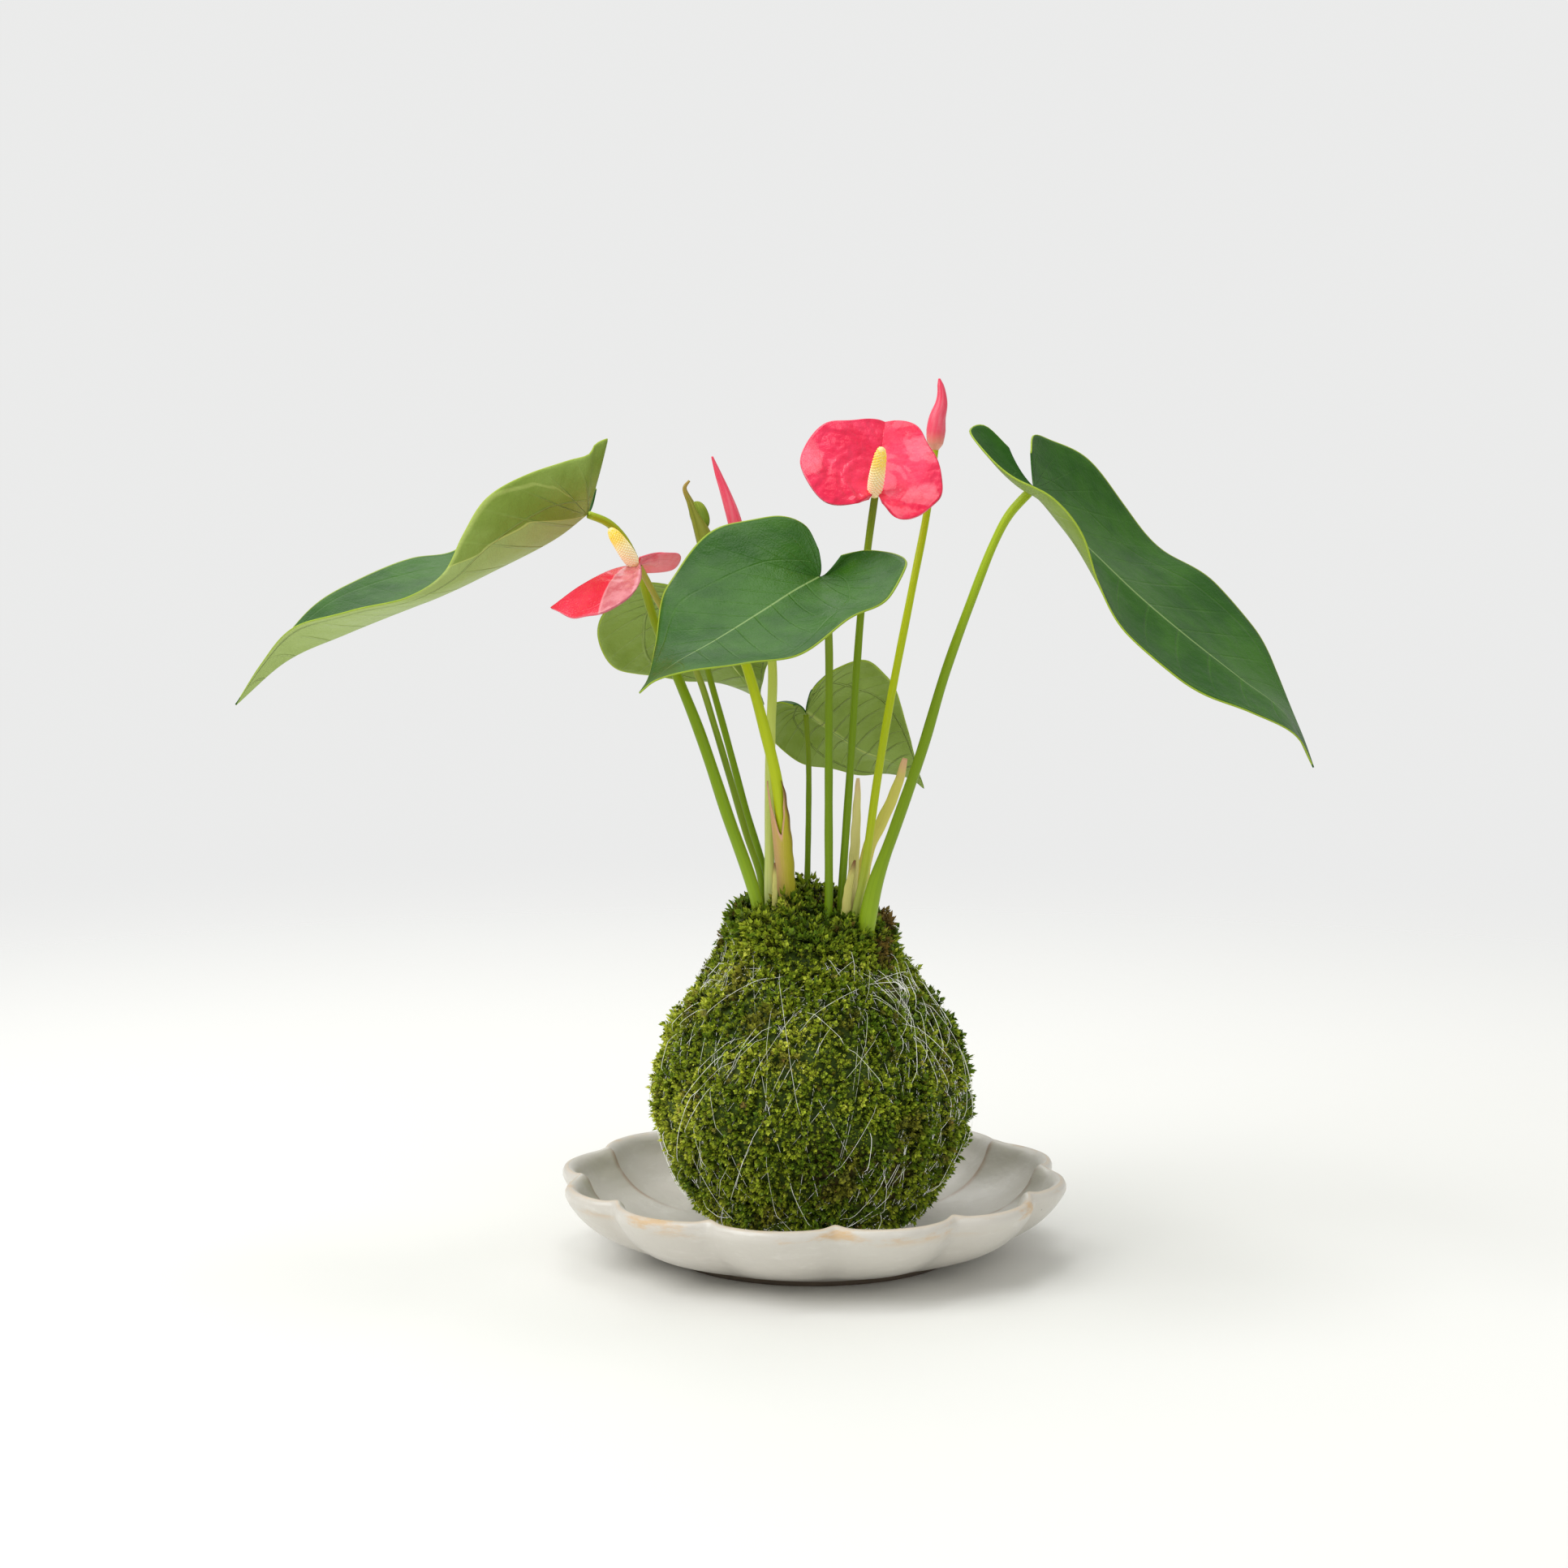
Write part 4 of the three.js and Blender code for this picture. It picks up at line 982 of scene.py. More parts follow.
@dataclass
class Blade:
    """A heart-shaped leaf or spathe, from its joint on the stem to its tip."""

    # The rings about a spathe's joint: from one to the next, where they are tallest, and how far they fade.
    RING_GAP = 4.8
    RING_REACH = 13
    RING_WIDTH = 7
    name: str
    midrib: tuple[Point, ...]
    sides: tuple[Side, Side]
    lobe_share: float
    slot: str = "leaf"
    top: Finish = LEAF_TOP
    under: Finish = LEAF_UNDER
    ripple: float = 1.2
    waves: float = 23.8
    quilting: float = 0.1
    veins: float = 15.0
    ridges: float = 0.0
    thickness: float = 0.6
    rows: int = 108
    columns: int = 20

    def place(self, side: int, across: Array, along: Array) -> Array:
        """Where spots of the smooth form lie.

        Args:
            side: Which half they are on.
            across: Their shares of the way from the midrib to the edge.
            along: Their shares of the way to the tip.

        Returns:
            Their places.
        """
        half = self.sides[side]
        past = np.clip((along - self.lobe_share) / (1 - self.lobe_share), 0, 1)
        inner = Route(self.midrib).at(past)
        spot = inner + (Route((*half.edge, self.midrib[-1])).at(along) - inner) * across[:, None]
        hang = np.sin(math.pi * np.minimum(1, 0.15 + along)) * 4 * across * (1 - across)
        spot += np.array(half.belly) * hang[:, None]
        wave = np.sin(along * self.waves + side * 2.1) * np.minimum(1, 4 * (1 - along))
        spot[:, 2] += self.ripple * across ** 2 * wave
        return spot

    def relief(self, side: int, across: float, along: float, reach: float) -> float:
        """How far the skin stands off the smooth form: pillows between veins, and rings about the joint.

        Args:
            side: Which half the spot is on.
            across: Its share of the way from the midrib to the edge.
            along: Its share of the way to the tip.
            reach: How far it is from the joint.

        Returns:
            The distance along the normal.
        """
        turn = (along - VEIN_SWEEP * across ** 2) * self.veins + 0.5
        # Each field between two veins has its own height.
        own = 0.6 + 0.4 * math.sin(7.3 * math.floor(turn) + 1.0)
        pillow = own * (0.5 - 0.5 * math.cos(FULL_TURN * turn)) * math.sin(math.pi * across) ** 0.6
        groove = math.exp(-(across / 0.035) ** 2)
        fade = min(1.0, 6 * (1 - along)) * min(1.0, 6 * across + 3 * max(0.0, along - self.lobe_share))
        ring = math.sin(FULL_TURN * reach / self.RING_GAP + 0.7 * math.sin(9 * along))
        ring *= math.exp(-((reach - self.RING_REACH) / self.RING_WIDTH) ** 2) * math.sin(math.pi * across)
        ring *= 0.25 if side else 1.0
        return fade * (self.quilting * (pillow - 0.3 - 1.6 * groove) + self.ridges * ring)

    def half(self, side: int) -> bmesh.types.BMesh:
        """One half, whose map runs from the midrib in the middle out to its edge.

        Args:
            side: Which half it is.

        Returns:
            The shaped half.
        """
        mesh = unit_grid(self.columns, self.rows)
        spots = [(vertex.co.x, vertex.co.y) for vertex in mesh.verts]
        shape_grid(mesh, partial(self.place, side))
        if side == 1:
            bmesh.ops.reverse_faces(mesh, faces=mesh.faces[:])
        mesh.normal_update()
        joint = Vector(self.midrib[0])
        for vertex, (across, along) in zip(mesh.verts, spots):
            reach = (vertex.co / MM - joint).length
            vertex.co += vertex.normal * self.relief(side, across, along, reach) * MM
        layer = mesh.loops.layers.uv["shape"]
        for face in mesh.faces:
            for loop in face.loops:
                across, along = loop[layer].uv
                loop[layer].uv = (0.5 + across / 2 if side else 0.5 - across / 2, along)
        return mesh

    def build(self) -> None:
        """Builds the blade from two halves, joined along the midrib, with its upper face up."""
        whole = self.half(0)
        other = bpy.data.meshes.new("half")
        second = self.half(1)
        second.to_mesh(other)
        second.free()
        whole.from_mesh(other)
        bpy.data.meshes.remove(other)
        bmesh.ops.remove_doubles(whole, verts=whole.verts[:], dist=0.06 * MM)
        bmesh.ops.recalc_face_normals(whole, faces=whole.faces[:])
        if sum((face.normal.z * face.calc_area() for face in whole.faces), 0.0) < 0:
            bmesh.ops.reverse_faces(whole, faces=whole.faces[:])
        piece = finish_piece(f"{self.name}_blade", whole, (self.top, self.under), (self.name,))
        add_thickness(piece, self.thickness, back=1)


def spathe(name: str, midrib: tuple[Point, ...], sides: tuple[Side, Side], ripple: float,
           top: Finish = SPATHE_TOP, ridges: float = 0.26) -> Blade:
    """An open flower's spathe: a small glossy blade with puckered ridges.

    Args:
        name: Its name.
        midrib: Its midrib, from the joint to the tip.
        sides: Its halves.
        ripple: How high its edge waves.
        top: The finish of its upper face.
        ridges: How high the rings about its joint are.

    Returns:
        The spathe as a blade.
    """
    return Blade(name, midrib, sides, 0.4, "spathe", top, SPATHE_UNDER, ripple, waves=20.4, quilting=0.05,
                 veins=11.0, ridges=ridges, thickness=0.7, rows=90, columns=30)


@dataclass
class Stem:
    """A bent round piece with a diameter that changes along it."""

    name: str
    route: tuple[Point, ...]
    widths: tuple[float, ...]
    tone: Tone = Tone.BRIGHT
    slot: str = "stem"
    sides: int = 20
    rows: int = 90

    def __post_init__(self) -> None:
        """Lays the route, with a frame at each row."""
        self.line = Route(self.route)
        self.first, self.second = self.line.frames(np.linspace(0, 1, self.rows + 1))

    def section(self, around: Array, along: Array,
                half_width: Array) -> tuple[Array, Array]:
        """Where spots of the skin lie about the route.

        Args:
            around: Their shares of the way round.
            along: Their shares of the length.
            half_width: Half the piece's width at each.

        Returns:
            Their distances from the route and their angles about it.
        """
        uneven = 1 + 0.02 * np.sin(along * 41 + around * 12.6)
        return half_width * uneven, FULL_TURN * around

    def place(self, around: Array, along: Array) -> Array:
        """Where spots of the skin lie.

        Args:
            around: Their shares of the way round.
            along: Their shares of the length.

        Returns:
            Their places.
        """
        row = np.rint(along * self.rows).astype(int)
        half_width = np.interp(along, np.linspace(0, 1, len(self.widths)), self.widths) / 2
        radius, angle = self.section(around, along, half_width)
        return (self.line.at(along) + self.first[row] * (radius * np.cos(angle))[:, None]
                + self.second[row] * (radius * np.sin(angle))[:, None])

    def build(self) -> None:
        """Builds the closed stem."""
        mesh = unit_grid(self.sides, self.rows)
        shape_grid(mesh, self.place)
        bmesh.ops.remove_doubles(mesh, verts=mesh.verts[:], dist=0.01 * MM)
        open_edges = [edge for edge in mesh.edges if edge.is_boundary]
        bmesh.ops.holes_fill(mesh, edges=open_edges, sides=0)
        bmesh.ops.recalc_face_normals(mesh, faces=mesh.faces[:])
        finish_piece(f"{self.name}_skin", mesh, (self.tone.value,), (self.name,))


@dataclass
class Roll(Stem):
    """A blade still rolled up round itself, such as a bud or a young leaf."""

    turns: float = 1.35
    start: float = 0.6
    twist: float = 1.2
    thickness: float = 0.5
    thinnest: float = 0.15

    def section(self, around: Array, along: Array,
                half_width: Array) -> tuple[Array, Array]:
        """Where spots of the sheet lie, as it winds inwards and twists towards its tip.

        Args:
            around: Their shares of the way round.
            along: Their shares of the length.
            half_width: Half the roll's width at each.

        Returns:
            Their distances from the route and their angles about it.
        """
        inward = 1 - 0.2 * around - 0.06 * np.sin(math.pi * around)
        radius = np.maximum(half_width - self.thickness / 2, self.thinnest) * inward
        return radius, self.start + self.twist * along + FULL_TURN * self.turns * around

    def build(self) -> None:
        """Builds the rolled sheet with its thickness."""
        mesh = unit_grid(self.sides, self.rows)
        shape_grid(mesh, self.place)
        bmesh.ops.recalc_face_normals(mesh, faces=mesh.faces[:])
        piece = finish_piece(f"{self.name}_roll", mesh, (self.tone.value,), (self.name,))
        add_thickness(piece, self.thickness)


@dataclass(frozen=True)
class SpadixFinish(Finish):
    """The spike of a flower: cream at its foot and yellow above, with dark seams between florets that are
    painted shade, and a painted glow.
    """

    foot: Colour = (0.98, 0.8, 0.52)
    middle: Colour = (0.99, 0.88, 0.52)
    tip: Colour = (0.98, 0.7, 0.02)
    pale: Colour = (0.98, 0.92, 0.7)
    seam_shade: Colour = (0.94, 0.7, 0.3)
    painted_glow: float = 0.16

    def dress(self, graph: Graph, shader: Node) -> None:
        """Colours by the spot along the spike.

        Args:
            graph: The material's graph.
            shader: Its Principled shader.
        """
        along, seam_shade, own = graph.painted("growth")
        colour = graph.mix(graph.band(along, 0.15, 0.55), self.foot, self.middle)
        colour = graph.mix(graph.band(along, 0.42, 0.8), colour, self.tip)
        paler = graph.mix(graph.math("MULTIPLY", own, 0.22), colour, self.pale)
        # Low on each floret and on the core the colour goes to the seam colour: painted shade between the
        # florets.
        seam_shaded = graph.mix(graph.band(seam_shade, 0.0, 0.5), self.seam_shade, paler)
        grain = graph.noise(graph.place(), 2500.0, 3.0)
        dusted = graph.mix(graph.math("MULTIPLY", grain, 0.15), seam_shaded, self.foot)
        # The emission is a painted glow: the spike is no lamp.
        graph.settle(shader, {
            "Base Color": dusted, "Roughness": graph.band(grain, 0.2, 0.8, 0.4, 0.6),
            "Emission Color": dusted, "Emission Strength": self.painted_glow})


@dataclass
class Spadix:
    """A flower's spike: a core covered with tiny florets in a spiral."""

    name: str
    route: tuple[Point, ...]
    widths: tuple[float, ...]
    florets: int = 320
    floret_size: float = 0.54
    flatness: float = 0.75
    core_balls: int = 14

    def build(self) -> None:
        """Builds the spike, as florets set in turns of the golden angle round its core."""
        route = Route(self.route)
        shares = (np.arange(self.florets) + 0.5) / self.florets
        first, second = route.frames(shares)
        marks = np.linspace(0, 1, len(self.widths))
        mesh = bmesh.new()
        paint = mesh.verts.layers.float_color.new("growth")
        rng = np.random.default_rng(SEED)
        for index, share in enumerate(shares):
            radius = float(np.interp(share, marks, self.widths)) / 2
            angle = GOLDEN_ANGLE * index
            outward = first[index] * math.cos(angle) + second[index] * math.sin(angle)
            size = self.floret_size * (0.6 + 0.4 * radius / (max(self.widths) / 2))
            middle = route.at(share) + outward * max(radius - self.flatness * size, 0)
            turned = Vector(outward).to_track_quat("Z", "Y").to_matrix().to_4x4()
            scaled = Matrix.Diagonal((size * MM, size * MM, self.flatness * size * MM, 1))
            matrix = Matrix.Translation(Vector(middle) * MM) @ turned @ scaled
            made = bmesh.ops.create_icosphere(mesh, subdivisions=1, radius=1.0, matrix=matrix)
            own = float(rng.random())
            for vertex in made["verts"]:
                lift = (vertex.co - Vector(middle) * MM).dot(Vector(outward)) / (size * MM)
                # How high a spot stands on its floret sets the painted shade low between the florets.
                vertex[paint] = (float(share), 0.5 + 0.5 * lift, own, 1)
        self._core(mesh, route, marks)
        finish_piece(f"{self.name}_florets", mesh, (SpadixFinish("florets"),), (self.name,))

    def _core(self, mesh: bmesh.types.BMesh, route: Route, marks: Array) -> None:
        """Adds the core under the florets, as a chain of balls.

        Args:
            mesh: The florets.
            route: The spike's middle.
            marks: The share of its length at each of its widths.
        """
        paint = mesh.verts.layers.float_color["growth"]
        for share in np.linspace(0.0, 0.97, self.core_balls):
            radius = max(float(np.interp(share, marks, self.widths)) / 2 - 0.25, 0.3) * MM
            matrix = Matrix.Translation(Vector(route.at(share)) * MM)
            made = bmesh.ops.create_icosphere(mesh, subdivisions=2, radius=radius, matrix=matrix)
            for vertex in made["verts"]:
                # The core sits low on that share, so it takes the seams' painted shade.
                vertex[paint] = (float(share), 0.1, 0.5, 1)


@dataclass
class Bract:
    """A dry sheath: a ribbon rounded about its route, narrowing to a ragged tip."""

    name: str
    route: tuple[Point, ...]
    width: float
    bend: float
    facing: Point
    finish: Finish = Tone.BRACT.value
    taper: float = 0.5
    cleft: float = 0.0
    cleft_at: float = 0.5
    rows: int = 60
    columns: int = 14

    def place(self, across: Array, along: Array) -> Array:
        """Where spots of the ribbon lie.

        Args:
            across: Their shares of the width.
            along: Their shares of the length.

        Returns:
            Their places.
        """
        route = Route(self.route)
        to_edge = np.where(across < self.cleft_at, self.cleft_at, 1 - self.cleft_at)
        along = along * (1 - self.cleft * (1 - np.abs(across - self.cleft_at) / to_edge))
        direction = route.along(along)
        facing = np.array(self.facing, dtype=float)
        front = facing - direction * (direction @ facing)[:, None]
        front /= np.linalg.norm(front, axis=1, keepdims=True)
        sideways = np.cross(direction, front)
        ragged = 1 + 0.06 * np.sin(along * 37) * np.sign(across - 0.5)
        reach = self.width / self.bend / 2 * (1 - 0.97 * along ** 2) ** self.taper * ragged
        angle = reach * (2 * across - 1)
        crease = 0.12 * np.sin(across * 31) * (1 - along)
        return (route.at(along) + front * ((self.bend + crease) * np.cos(angle))[:, None]
                + sideways * (self.bend * np.sin(angle))[:, None])

    def build(self) -> None:
        """Builds the ribbon with its thickness."""
        mesh = unit_grid(self.columns, self.rows)
        shape_grid(mesh, self.place)
        bmesh.ops.recalc_face_normals(mesh, faces=mesh.faces[:])
        piece = finish_piece(f"{self.name}_ribbon", mesh, (self.finish,), (self.name,))
        add_thickness(piece, THIN)


@dataclass
class UnrolledLobe:
    """The first lobe of a young leaf to come out of its roll: a small hollow disc."""

    name: str
    reach: Point
    lean: float
    middle: Point

    def place(self, across: Array, along: Array) -> Array:
        """Where spots of the lobe lie.

        Args:
            across: Their shares of the width.
            along: Their shares of the height.

        Returns:
            Their places.
        """
        side, rise = 2 * across - 1, 2 * along - 1
        x = self.reach[0] * side * np.sqrt(1 - 0.5 * rise ** 2)
        z = self.reach[2] * rise * np.sqrt(1 - 0.5 * side ** 2)
        y = self.reach[1] * (1.3 * (side ** 2 + 0.4 * rise ** 2) - 0.6)
        cos, sin = math.cos(self.lean), math.sin(self.lean)
        return np.stack([x * cos + z * sin, y, z * cos - x * sin], axis=1) + np.array(self.middle)

    def build(self) -> None:
        """Builds the lobe with its thickness."""
        mesh = unit_grid(24, 30)
        shape_grid(mesh, self.place)
        piece = finish_piece(self.name, mesh, (Tone.YOUNG_LOBE.value,), ())
        add_thickness(piece, THIN)


@dataclass
class Dish:
    """The glazed dish: a round section whose wall is pinched into lobes that meet in notches."""

    section: tuple[tuple[float, float, float], ...] = (
        (56, 0, 0), (57, 2.2, 0), (66, 4.5, 0.4), (78, 8.8, 0.75), (88, 14.5, 0.95), (95, 21.5, 1),
        (98.5, 28, 1), (97, 30.8, 1), (93.8, 29.8, 1), (90, 23.5, 0.95), (82, 16.5, 0.8),
        (70, 11.8, 0.5), (56, 9.2, 0.2), (38, 8.2, 0), (18, 8.2, 0),
    )
    lobes: int = 12
    radius: float = 98.5
    notch_radius: float = 91.2
    first_notch: float = math.radians(4.9)
    steps_per_lobe: int = 24
    rows: int = 92
    foot_recess: float = 1.0
    foot_ring: tuple[float, float] = (50.0, 52.0)
    well: float = 8.2
    crowding: float = 0.09
    notch_peak: float = 0.9
    notch_width: float = 3.2
    fold_width: float = 0.9
    lip_wear: tuple[float, float] = (7.5, 1.8)

    # The lobes' depths go through the section's curve drawn out, so that they weigh in its length.
    DRAWN_OUT = 12

    def lobe_reach(self, share: Array) -> Array:
        """The outline of a lobe.

        Args:
            share: Shares of the way from one notch to the next.

        Returns:
            How far out it lies, as a share of the radius.
        """
        half_lobe = math.pi / self.lobes
        rise = self.radius - self.notch_radius * math.cos(half_lobe)
        half_chord = self.notch_radius * math.sin(half_lobe)
        arc_radius = (half_chord ** 2 + rise ** 2) / (2 * rise)
        arc_centre = self.radius - arc_radius
        offset = (share - 0.5) * 2 * half_lobe
        across = arc_centre * np.sin(offset)
        return (arc_centre * np.cos(offset) + np.sqrt(arc_radius ** 2 - across ** 2)) / self.radius

    def build(self) -> None:
        """Builds the dish, spun from its section and then pinched."""
        route = Route([(r, self.DRAWN_OUT * depth, z) for r, z, depth in self.section])
        profile = route.at(np.linspace(0, 1, self.rows))
        mesh = bmesh.new()
        outline = [(0.0, self.foot_recess), (self.foot_ring[0], self.foot_recess), (self.foot_ring[1], 0.0),
                   *((r, z) for r, _, z in profile), (0.0, self.well)]
        stops = [mesh.verts.new((r * MM, 0, z * MM)) for r, z in outline]
        edges = [mesh.edges.new(pair) for pair in zip(stops, stops[1:])]
        bmesh.ops.spin(mesh, geom=[*stops, *edges], cent=(0, 0, 0), axis=(0, 0, 1), angle=FULL_TURN,
                       steps=self.lobes * self.steps_per_lobe, use_merge=True, use_duplicate=False)
        bmesh.ops.remove_doubles(mesh, verts=mesh.verts[:], dist=0.02 * MM)
        self._pinch(mesh, profile)
        bmesh.ops.recalc_face_normals(mesh, faces=mesh.faces[:])
        finish_piece("dish_glazed", mesh, (GlazeFinish("glazed_stoneware"),), ("dish",))

    def _pinch(self, mesh: bmesh.types.BMesh, profile: Array) -> None:
        """Pinches the round dish into lobes and paints where it is worn.

        Args:
            mesh: The round dish.
            profile: Its section as radius, the lobes' depth drawn out, and height.
        """
        paint = mesh.verts.layers.float_color.new("wear")
        places = np.array([vertex.co for vertex in mesh.verts]) / MM
        radius = np.hypot(places[:, 0], places[:, 1])
        height = places[:, 2]
        gap = (radius[:, None] - profile[None, :, 0]) ** 2 + (height[:, None] - profile[None, :, 2]) ** 2
        row = np.argmin(gap, axis=1)
        steps = np.hypot(np.diff(profile[:, 0]), np.diff(profile[:, 2]))
        walked = np.concatenate([[0], np.cumsum(steps)])
        past_lip = walked[row] - walked[int(np.argmax(profile[:, 2]))]
        depth = np.where(radius < 30, 0, profile[row, 1] / self.DRAWN_OUT)
        turn = (np.arctan2(places[:, 1], places[:, 0]) / FULL_TURN) * self.lobes
        share = turn - np.floor(turn)
        # More of the vertices lie near the notches, where the outline bends.
        crowded = share - self.crowding * np.sin(FULL_TURN * share)
        angle = (np.floor(turn) + crowded) * FULL_TURN / self.lobes + self.first_notch
        softness = 0.012 + 0.05 * smooth_step(-past_lip, 0.5, 6)
        spreads = (-1, -0.5, 0, 0.5, 1)
        outline = sum(self.lobe_reach((crowded + softness * spread) % 1) for spread in spreads) / len(spreads)
        reach = radius * (1 - depth * (1 - outline))
        from_notch = np.minimum(crowded, 1 - crowded) * FULL_TURN / self.lobes * reach
        edge = np.exp(-(past_lip / np.where(past_lip < 0, *self.lip_wear)) ** 2)
        near_notch = np.exp(-(from_notch / self.notch_width) ** 2)
        peak = self.notch_peak * near_notch * np.exp(-(past_lip / 3.0) ** 2)
        fold = np.exp(-(from_notch / self.fold_width) ** 2)
        fold = fold * smooth_step(past_lip, 0.5, 3) * smooth_step(reach, 50, 78)
        foot = smooth_step(-height, -2.6, -1.8) * (radius > 51)
        for index, vertex in enumerate(mesh.verts):
            vertex.co = Vector((reach[index] * math.cos(angle[index]), reach[index] * math.sin(angle[index]),
                                height[index] + peak[index])) * MM
            vertex[paint] = (edge[index], fold[index], foot[index], 1)


def patches(points: Array, size: float, seed: int) -> Array:
    """Soft noise between -1 and 1.

    Args:
        points: Where it is wanted.
        size: About how large its patches are.
        seed: Which noise it is.

    Returns:
        The noise at each point.
    """
    rng = np.random.default_rng(seed)
    total = np.zeros(len(points))
    for _ in range(9):
        direction = rng.normal(size=3)
        direction *= rng.uniform(0.6, 1.5) * math.pi / (size * np.linalg.norm(direction))
        total += np.sin(points @ direction + rng.uniform(0, FULL_TURN))
    return np.clip(total / 3.2, -1, 1)


def nearest_of(points: Array, spots: Array) -> tuple[Array, Array]:
    """Finds the point nearest to each spot.

    Args:
        points: The points to choose from.
        spots: The spots.

    Returns:
        The number of each spot's nearest point, and how far off it is.
    """
    tree = kdtree.KDTree(len(points))
    for number, point in enumerate(points):
        tree.insert(point, number)
    tree.balance()
    found = [tree.find(spot) for spot in spots]
    return np.array([entry[1] for entry in found]), np.array([entry[2] for entry in found])


@dataclass
class BallForm:
    """The plain form of the moss ball, with its crown that slopes to the front and the right."""

    section: tuple[tuple[float, float], ...] = (
        (0, 8.5), (23, 8.5), (35, 10.5), (43.5, 16.5), (52, 27), (57, 38), (61, 50), (62, 60), (61, 70),
        (58, 82), (53, 93), (47, 102.5), (41, 111), (36, 119), (32.5, 127), (29, 132), (20, 134.5),
        (6, 136), (0, 136),
    )
    centre_height: float = 62
    crown_start: float = 100
    crown_top: float = 136
    slope: tuple[float, float] = (-0.12, 0.22)
    mound: tuple[float, float, float, float] = (-3, 13, 4.5, 11)
    hollows: tuple[tuple[Point, float, float], ...] = (
        ((-38, -6, 114), 3.8, 10), ((42, -6, 106), 4.2, 15), ((-14, -12, 134.5), -4.4, 10),
        ((12, -16, 134), -4.2, 7.5),
    )

    def __post_init__(self) -> None:
        """Makes the smooth section."""
        self.route = Route([(r, 0, z) for r, z in self.section])

    def crown(self, points: Array) -> Array:
        """Moves points of the round form to the sloping crown.

        Args:
            points: The points.

        Returns:
            Their new places.
        """
        x, y, z = points.T
        high = smooth_step(z, self.crown_start, self.crown_top)
        across, back, height, radius = self.mound
        mound = height * np.exp(-((x - across) ** 2 + (y - back) ** 2) / radius ** 2)
        return np.stack([x, y, z + high * (self.slope[0] * x + self.slope[1] * y + mound)], axis=1)

    def dip(self, points: Array) -> Array:
        """How deep the hollows of the neck are at points of the round form."""
        return sum(depth * np.exp(-np.sum((points - middle) ** 2, axis=1) / radius ** 2)
                   for middle, depth, radius in self.hollows)

    def unevenness(self, points: Array) -> Array:
        """How far the moss stands out of the round form at points of it, or stays behind it."""
        return 0.9 * patches(points, 13, SEED + 7) - self.dip(points)

    def skin(self, around: Array, along: Array, lift: Union[float, Array]) -> Array:
        """Points that stand off the form.

        Args:
            around: Their shares of the way round.
            along: Their shares of the section's length.
            lift: How far they stand off.

        Returns:
            The points.
        """
        spot, run = self.route.at(along), self.route.along(along)
        angle = FULL_TURN * around
        plain = np.stack([spot[:, 0] * np.cos(angle), spot[:, 0] * np.sin(angle), spot[:, 2]], axis=1)
        lift = lift + self.unevenness(plain)
        radius = np.maximum(spot[:, 0] + run[:, 2] * lift, 0)
        height = spot[:, 2] - run[:, 0] * lift
        return self.crown(np.stack([radius * np.cos(angle), radius * np.sin(angle), height], axis=1))

    def outward(self, around: Array, along: Array) -> Array:
        """Unit directions square to the round form.

        Args:
            around: The spots' shares of the way round.
            along: Their shares of the section's length.

        Returns:
            The directions.
        """
        run = self.route.along(along)
        angle = FULL_TURN * around
        return np.stack([run[:, 2] * np.cos(angle), run[:, 2] * np.sin(angle), -run[:, 0]], axis=1)

    def scatter(self, rng: np.random.Generator, count: int) -> tuple[Array, Array]:
        """Spots spread evenly over the form's area.

        Args:
            rng: The seeded source of chance.
            count: How many are wanted.

        Returns:
            Their shares around the form and along its section.
        """
        shares = np.linspace(0, 1, 400)
        area = np.cumsum(self.route.at(shares)[:, 0])
        return rng.random(count), np.interp(rng.random(count) * area[-1], area, shares)

    def reach(self, slope: Array) -> Array:
        """How far the form reaches from its centre.

        Args:
            slope: Angles above the level.

        Returns:
            The distance at each angle.
        """
        spots = self.route.samples
        rise = spots[:, 2] - self.centre_height
        return np.interp(slope, np.arctan2(rise, spots[:, 0]), np.hypot(rise, spots[:, 0]))


